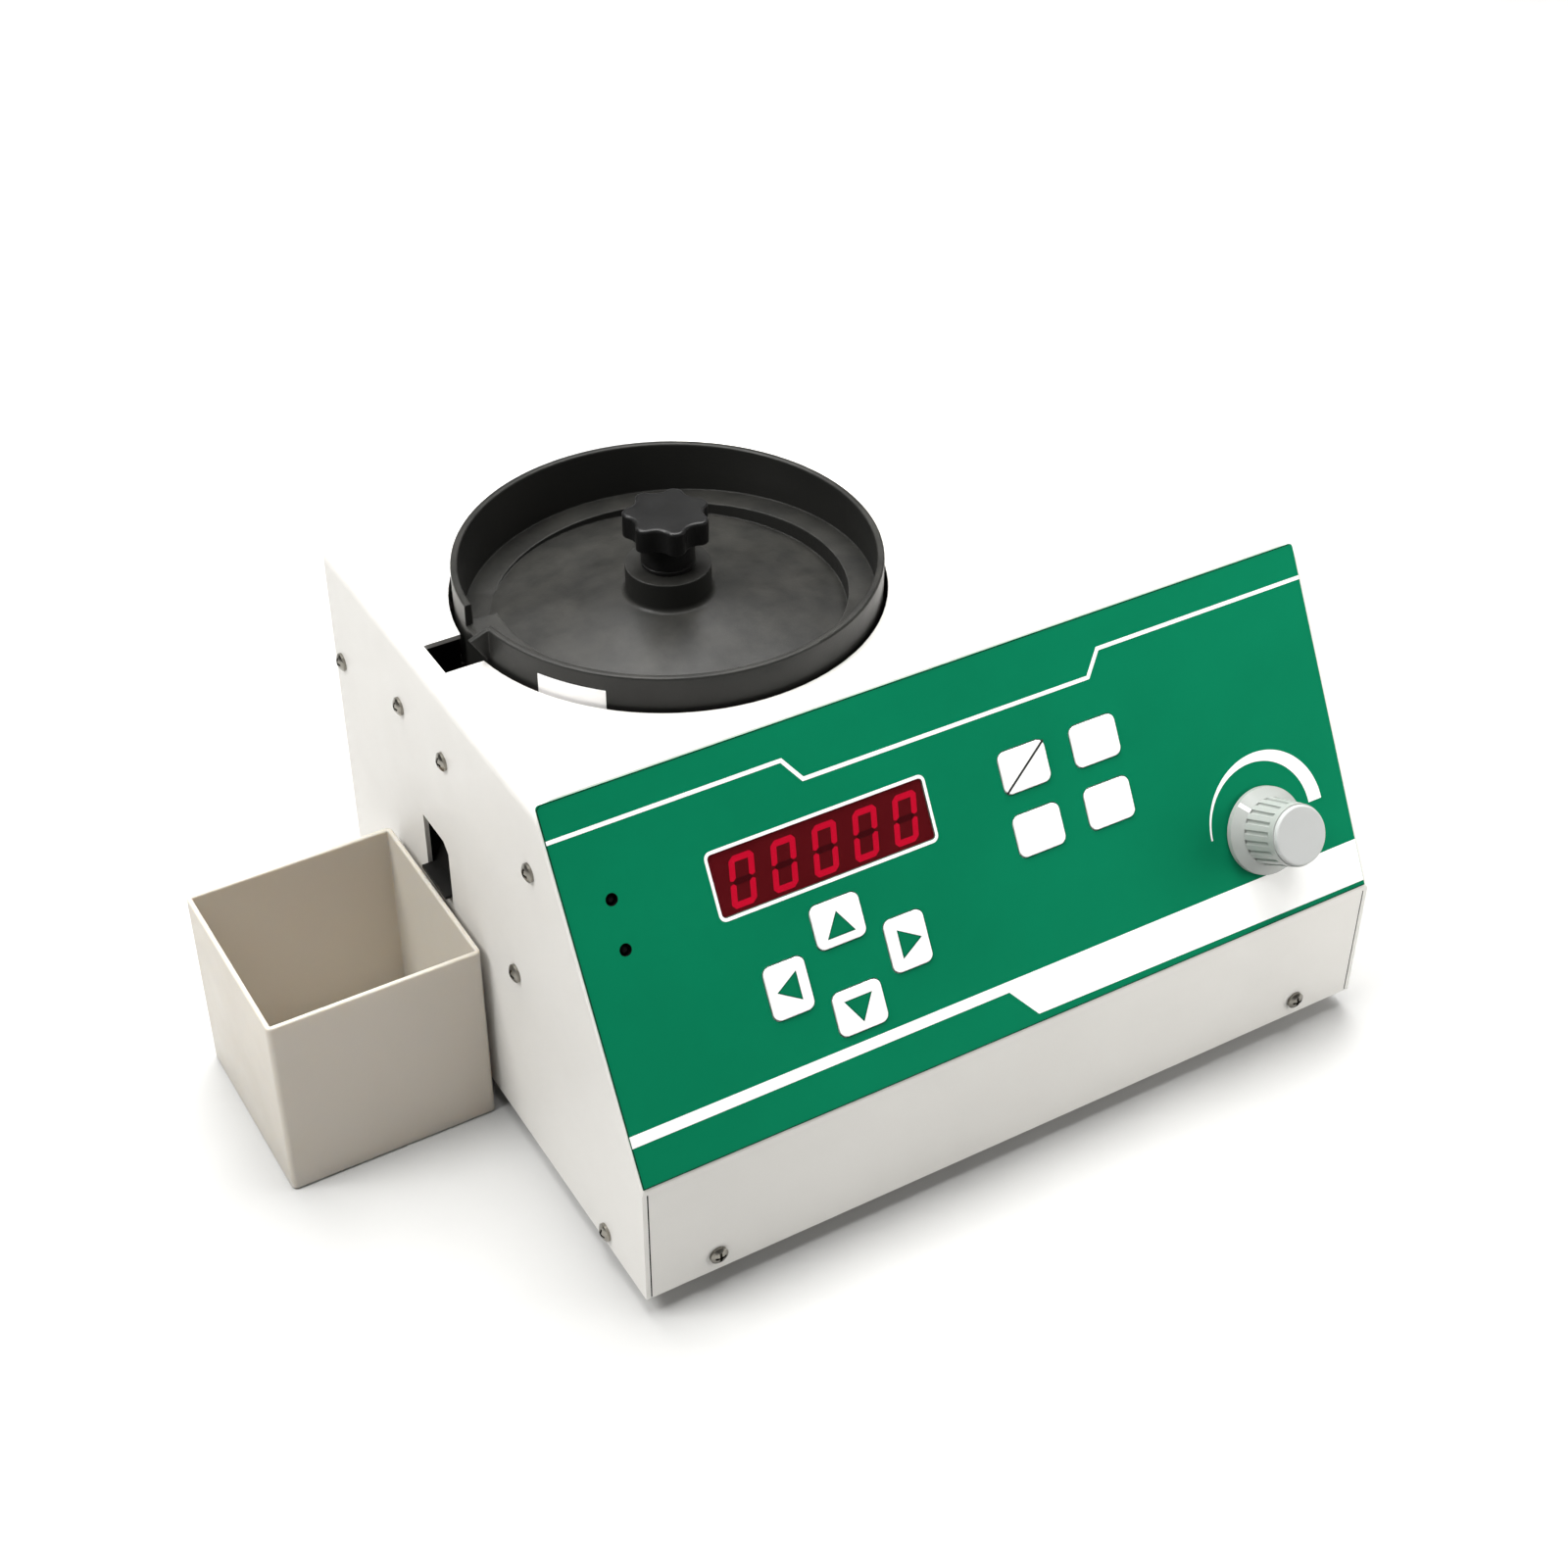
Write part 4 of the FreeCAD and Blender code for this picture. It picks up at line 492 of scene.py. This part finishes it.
def lit_finish():
    """Lit segments: red light that varies a little from place to place."""
    material = finish("segment_lit", light=(0.36, 0.004, 0.017), dark=(0.32, 0.003, 0.014), rough=(0.4, 0.5),
                      grain=1500.0, bump=0.03, Specular_IOR_Level=0.05)
    tree = material.node_tree
    shader = tree.nodes["Principled BSDF"]
    place = tree.nodes.new("ShaderNodeTexCoord").outputs["Object"]
    glow = blend_colour(tree, noise(tree, place, glow_grain, detail=1.0), glow_low, glow_high)
    tree.links.new(glow, shader.inputs["Emission Color"])
    shader.inputs["Emission Strength"].default_value = lit_glow
    return material


segment_lit = lit_finish()
slot_finishes = {
    "cover_paint": cover_paint, "foot_rubber": foot_rubber, "screw_steel": screw_steel,
    "overlay_film": overlay_film, "display_filter": display_filter, "digit_module": digit_face,
    "indicator_lens": lens_dark, "key_plastic": key_plastic, "board_laminate": board_laminate,
    "inner_plastic": inner_plastic, "plated_steel": plated_steel, "knob_grey": knob_grey,
    "bowl_black": bowl_black, "label_paper": label_paper, "star_black": star_black,
    "drive_aluminium": drive_aluminium, "drive_iron": drive_iron, "copper_winding": copper_winding,
    "chute_plastic": chute_plastic, "fitting_black": fitting_black, "pin_brass": pin_brass,
    "bin_cream": bin_cream,
}
for part in frame["record"]["subparts"]:
    holder = nodes[part["node"]]
    for slot in holder.material_slots:
        slot.material = slot_finishes[part["material_slot"]]
# The cap gets a lighter grey than the knob body, whose darker grey is partly painted shade
for name, darker in (("knob_cap", cap_grey), ("clamp_washer", star_black)):
    for slot in nodes[name].material_slots:
        slot.material = darker


# Panel print
def ink_ribbon(name, first, second, closed=False, colour=print_white, thickness=ink):
    bm = bmesh.new()
    add_ribbon(bm, first, second, film_top, film_top + thickness, panel_point, closed)
    return piece(name, mesh_of(bm), "chassis", colour)


film_left = 0.8
film_right = 258.3
top_line = [(film_left, 102.1), (73.4, 102.1), (78.6, 95.0), (176.5, 94.6), (181.8, 101.9), (film_right, 101.8)]
top_line_width = 1.2
ink_ribbon("panel_top_line", *stroke_edges(top_line, top_line_width))

# Painted shade: a thin dark line along the film's top, left and bottom edges, where shade falls at the film's
# edge
film_edge_shade_line = [(257.2, 112.5), (1.8, 112.5), (0.75, 111.45), (0.75, 1.05), (258.2, 1.05)]
film_edge_shade_width = 0.3
ink_ribbon("panel_film_edge_shade", *stroke_edges(film_edge_shade_line, film_edge_shade_width), colour=edge_shade_ink, thickness=ink / 2)

band_upper = [(film_left, 16.75), (125.8, 16.45), (133.8, 16.4), (film_right, 16.2)]
band_lower = [(film_left, 13.3), (125.8, 13.2), (133.8, 3.5), (film_right, 2.5)]
ink_ribbon("panel_lower_band", band_upper, band_lower)

display_middle = (79.5, 74.4)
border_inner = (70.4, 18.6)
border_outer = (72.2, 20.6)
border_inner_round = 1.3
border_outer_round = 2.2
ink_ribbon("display_border", rounded_loop(display_middle, border_outer, border_outer_round),
           rounded_loop(display_middle, border_inner, border_inner_round), closed=True)

# Crescent scale round the vibration knob: what lies between two circles, from its thin to its thick end
knob_middle = (225.2, 30.4)
crescent_outer = (227.6, 33.1, 21.5)
crescent_inner = (225.4, 33.1, 18.75)
crescent_steps = 64


def half_circle(x, v, radius):
    angles = [math.pi * (1 - step / crescent_steps) for step in range(crescent_steps + 1)]
    return [(x + radius * math.cos(angle), v + radius * math.sin(angle)) for angle in angles]


ink_ribbon("vibration_scale", half_circle(*crescent_inner), half_circle(*crescent_outer))

# Painted shade: dark rings lining the indicator light holes, and dark slabs in the two seams of the front
# strip, where shade falls
lamp_x = 14.45
lamp_vs = (66.9, 81.5)
hole_shade_outer = 1.83
hole_shade_inner = 1.72
hole_shade_layer = (-1.1, 0.46)
hole_shade_steps = 9
bm = bmesh.new()
for lamp_v in lamp_vs:
    rings = [rounded_loop((lamp_x, lamp_v), (2 * radius, 2 * radius), radius, hole_shade_steps)
             for radius in (hole_shade_outer, hole_shade_inner)]
    add_ribbon(bm, *rings, *hole_shade_layer, panel_point, closed=True)
piece("lamp_hole_shade", mesh_of(bm), "chassis", lens_dark)

seam_lefts = (case_wall, case_width - case_wall - seam_width)
seam_low = 7.5
seam_top_gap = 0.2
seam_shade_inset = 0.1
seam_shade_gap = 0.02
seam_heights = (seam_low, strip_top_z - case_wall - seam_top_gap)
seam_layer = (seam_shade_inset, case_wall - seam_shade_inset)


def strip_point(x, z, y):
    return case_corner + Vector((x, y, z)) * MM


# Painted shade: dark slabs inside the seam gaps darken the seam lines
bm = bmesh.new()
for seam_left in seam_lefts:
    near, far = seam_left + seam_shade_gap, seam_left + seam_width - seam_shade_gap
    low, high = seam_heights
    add_plate(bm, [(near, low), (far, low), (far, high), (near, high)], *seam_layer, strip_point)
piece("seam_shade", mesh_of(bm), "chassis", lens_dark)

# Display: a red film under the window, and on it digits of six lit segments and a dark middle one
film_size = (70.0, 18.2)
film_round = 1.1
film_layer = (0.02, 0.06)
bm = bmesh.new()
add_plate(bm, rounded_loop(display_middle, film_size, film_round), *film_layer, panel_point)
piece("display_face", mesh_of(bm), "chassis", display_film)

digit_middle = (80.1, 73.75)
digit_count = 5
digit_pitch = 13.4
digit_half_width = 4.0
digit_half_height = 7.35
bar = 1.85
corner_cut = 1.3
side_foot_outer = 0.75
side_foot_inner = 1.0
side_foot_tip = 0.35
middle_tip = 0.9
digit_lean = 0.19
segment_thickness = 0.04


def digit_bars():
    w, h, t, c = digit_half_width, digit_half_height, bar, corner_cut
    top = [(-w + c, h), (w - c, h), (w - t, h - t), (-w + t, h - t)]
    side = [(-w, side_foot_outer), (-w, h - c), (-w + c, h), (-w + t, h - t),
            (-w + t, side_foot_inner), (-w + t / 2, side_foot_tip)]
    bars = [top, [(x, -v) for x, v in top]]
    for sx, sv in ((1, 1), (-1, 1), (1, -1), (-1, -1)):
        bars.append([(x * sx, v * sv) for x, v in side])
    return bars


def middle_bar():
    w, t, tip = digit_half_width, bar, digit_half_width - middle_tip
    return [[(-tip, 0), (-w + t, t / 2), (w - t, t / 2), (tip, 0), (w - t, -t / 2), (-w + t, -t / 2)]]


def flat_point(x, v, h):
    return Vector((x, v, h)) * MM


def digit_row(name, bars, colour):
    bm = bmesh.new()
    for outline in bars:
        leaned = [(x + v * digit_lean, v) for x, v in outline]
        add_plate(bm, leaned, film_layer[1], film_layer[1] + segment_thickness, flat_point)
    values = {"Count": digit_count, "Pitch": digit_pitch * MM, "Finish": colour}
    mesh = repeated(mesh_of(bm), even_row, values)
    mesh.transform(panel_matrix(*digit_middle, 0.0))
    return piece(name, mesh, "chassis", colour)


even_row = row_tree()
digit_row("digit_segments_lit", digit_bars(), segment_lit)
digit_row("digit_segments_dark", middle_bar(), segment_dim)

# Arrows on the cursor keys: key, direction from the keys' middle, and tip and base from the key's own middle
cursor_x = 77.9
cursor_v = 39.5
cursor_step_x = 19.9
cursor_step_v = 13.2
arrow_half_bases = (4.4, 4.65)
arrow_rim = 0.35
tip_rim = 2 * arrow_rim
flank_rim = 1.6 * arrow_rim
arrow_edge_top = key_top + 0.03
arrows = (("key_up", (0, 1), 3.2, -4.1), ("key_down", (0, -1), 4.2, -3.5),
          ("key_left", (-1, 0), 3.9, -3.3), ("key_right", (1, 0), 4.5, -2.9))


def arrow_outline(middle, way, tip, base, half_base):
    across = (-way[1], way[0])
    points = ((tip, 0.0), (base, half_base), (base, -half_base))
    return [(middle[0] + way[0] * along + across[0] * aside, middle[1] + way[1] * along + across[1] * aside)
            for along, aside in points]


for key_name, way, tip, base in arrows:
    middle = (cursor_x + way[0] * cursor_step_x, cursor_v + way[1] * cursor_step_v)
    half_base = arrow_half_bases[abs(way[1])]
    bm = bmesh.new()
    add_plate(bm, arrow_outline(middle, way, tip, base, half_base), key_top, arrow_edge_top, panel_point)
    piece(f"{key_name}_arrow_edge", mesh_of(bm), key_name, arrow_edge)
    bm = bmesh.new()
    inner = arrow_outline(middle, way, tip - tip_rim, base + arrow_rim, half_base - flank_rim)
    add_plate(bm, inner, arrow_edge_top, key_top + ink, panel_point)
    piece(f"{key_name}_arrow", mesh_of(bm), key_name, arrow_green)

# Slanted line on the upper left function key
function_key = (148.45, 75.8)
slash_reach = (7.9, 5.9)
slash = [(function_key[0] + way * slash_reach[0], function_key[1] + way * slash_reach[1]) for way in (-1, 1)]
slash_width = 0.65
bm = bmesh.new()
add_ribbon(bm, *stroke_edges(slash, slash_width), key_top, key_top + ink, panel_point)
piece("key_slash", mesh_of(bm), "key_upper_left", line_dark)

# Pointer on the knob's sloping skirt
pointer_angle = 126.0
pointer_width = 1.3
skirt_outer = (13.75, 2.94)
skirt_inner = (10.65, 5.28)
pointer_rise = 0.07
pointer_sink = -0.05


def pointer_corner(radius, aside, h):
    angle = math.radians(pointer_angle)
    x = knob_middle[0] + radius * math.cos(angle) - aside * math.sin(angle)
    v = knob_middle[1] + radius * math.sin(angle) + aside * math.cos(angle)
    return panel_point(x, v, h)


bm = bmesh.new()
rows = []
for radius, h in (skirt_outer, skirt_inner):
    half = pointer_width / 2
    corners = ((-half, pointer_rise), (half, pointer_rise), (half, pointer_sink), (-half, pointer_sink))
    rows.append([bm.verts.new(pointer_corner(radius, aside, h + rise)) for aside, rise in corners])
for i in range(4):
    j = (i + 1) % 4
    bm.faces.new((rows[0][i], rows[0][j], rows[1][j], rows[1][i]))
bm.faces.new(rows[0])
bm.faces.new(rows[1])
piece("knob_pointer", mesh_of(bm), "vibration_knob", print_white)

# Bin: thin straight walls with rounded corners and a rounded rim
bin_low, bin_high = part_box("collection_bin")
bin_wall = 1.6 * MM
bin_floor = 2.0 * MM
bin_corner = 1.8 * MM
rim_round = 0.55 * MM
rim_step = 30
least_corner = 0.4 * MM
bin_corner_steps = 8
sharp_angle = 40


def bin_mesh():
    middle = (bin_low + bin_high) / 2
    size = bin_high - bin_low
    bm = bmesh.new()
    levels = [(rim_round, bin_low.z), (0.0, bin_low.z + rim_round), (0.0, bin_high.z - rim_round)]
    for inside, steps in ((False, (1, 2, 3)), (True, (3, 2, 1, 0))):
        for step in steps:
            angle = math.radians(rim_step * step)
            inset = rim_round * (1 - math.cos(angle))
            z = bin_high.z - rim_round * (1 - math.sin(angle))
            levels.append((bin_wall - inset if inside else inset, z))
    floor_z = bin_low.z + bin_floor
    levels += [(bin_wall, floor_z + rim_round), (bin_wall + rim_round, floor_z)]
    loops = []
    for inset, z in levels:
        radius = max(bin_corner - inset, least_corner)
        inner_size = (size.x - 2 * inset, size.y - 2 * inset)
        points = rounded_loop((middle.x, middle.y), inner_size, radius, bin_corner_steps)
        loops.append([bm.verts.new((x, y, z)) for x, y in points])
    for near, far in zip(loops, loops[1:]):
        for i in range(len(near)):
            j = (i + 1) % len(near)
            bm.faces.new((near[i], near[j], far[j], far[i]))
    bm.faces.new(loops[0])
    bm.faces.new(loops[-1])
    mesh = mesh_of(bm)
    mesh.shade_smooth()
    mesh.set_sharp_from_angle(angle=math.radians(sharp_angle))
    return mesh


bin_piece = piece("bin_shell", bin_mesh(), "collection_bin", bin_cream)
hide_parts("collection_bin")

# Camera
camera_place = (-204.823, -422.292, 566.209)
camera_right = Vector((0.8625721, -0.50591644, 0.00423284))
camera_down = Vector((-0.31118196, -0.53711532, -0.78401079))
camera_ahead = Vector((0.39891748, 0.67494865, -0.62073276))
camera_data = bpy.data.cameras.new("photo_camera")
camera_data.sensor_width = 36.0
camera_data.lens = 57.217
camera_data.clip_start = 0.01
camera = bpy.data.objects.new("photo_camera", camera_data)
turn = Matrix((camera_right, -camera_down, -camera_ahead)).transposed().to_4x4()
camera.matrix_world = Matrix.Translation(case_corner + Vector(camera_place) * MM) @ turn
bpy.context.scene.collection.objects.link(camera)
bpy.context.scene.camera = camera

# Floor and light
bm = bmesh.new()
floor_half = 6.0
floor_z = -0.0002
corners = [(x * floor_half, y * floor_half) for x, y in ((-1, -1), (1, -1), (1, 1), (-1, 1))]
bm.faces.new([bm.verts.new((x, y, floor_z)) for x, y in corners])
floor_mesh = bpy.data.meshes.new("floor")
bm.to_mesh(floor_mesh)
bm.free()
floor_finish = finish("floor_white", light=(0.515, 0.515, 0.51), dark=(0.50, 0.50, 0.495), rough=(0.8, 0.9),
                      grain=40.0, bump=0.0)
floor_mesh.materials.append(floor_finish)
floor = bpy.data.objects.new("floor", floor_mesh)
bpy.context.scene.collection.objects.link(floor)


def softbox(name, place, aim, size, watts, tint):
    data = bpy.data.lights.new(name, "AREA")
    data.shape = "SQUARE"
    data.size = size
    data.energy = watts
    data.color = tint
    lamp = bpy.data.objects.new(name, data)
    lamp.location = place
    lamp.visible_camera = False
    lamp.rotation_euler = (Vector(aim) - Vector(place)).to_track_quat("-Z", "Y").to_euler()
    bpy.context.scene.collection.objects.link(lamp)
    return lamp


softbox("overhead_softbox", place=(0.15, 0.35, 1.4), aim=(0.0, 0.05, 0.1), size=1.2, watts=34.0,
        tint=(1.0, 0.995, 0.985))
softbox("left_softbox", place=(-1.05, 0.15, 1.45), aim=(-0.05, 0.0, 0.08), size=0.7, watts=24.5,
        tint=(1.0, 0.997, 0.985))
sidelight = softbox("right_softbox", place=(0.58, -0.46, 0.28), aim=(0.12, -0.1, 0.04), size=0.35, watts=2.7,
                    tint=(1.0, 0.985, 0.955))
backlight = softbox("back_softbox", place=(0.75, 1.05, 1.5), aim=(0.78, 0.95, 0.0), size=1.2, watts=14.0,
                    tint=(1.0, 1.0, 1.0))
for unmirrored in (sidelight, backlight):
    unmirrored.visible_glossy = False

# Even light from straight above, so that the floor stays pale far from the part
ceiling_data = bpy.data.lights.new("ceiling_light", "SUN")
ceiling_data.energy = 0.9
ceiling_data.angle = 0.5
ceiling = bpy.data.objects.new("ceiling_light", ceiling_data)
ceiling.visible_glossy = False
bpy.context.scene.collection.objects.link(ceiling)

room_light = 0.09
sky = bpy.data.worlds.new("studio")
sky.use_nodes = True
room = sky.node_tree.nodes["Background"]
room.inputs["Color"].default_value = (1.0, 1.0, 1.0, 1.0)
room.inputs["Strength"].default_value = room_light
bpy.context.scene.world = sky
bpy.context.scene.view_settings.view_transform = "Standard"
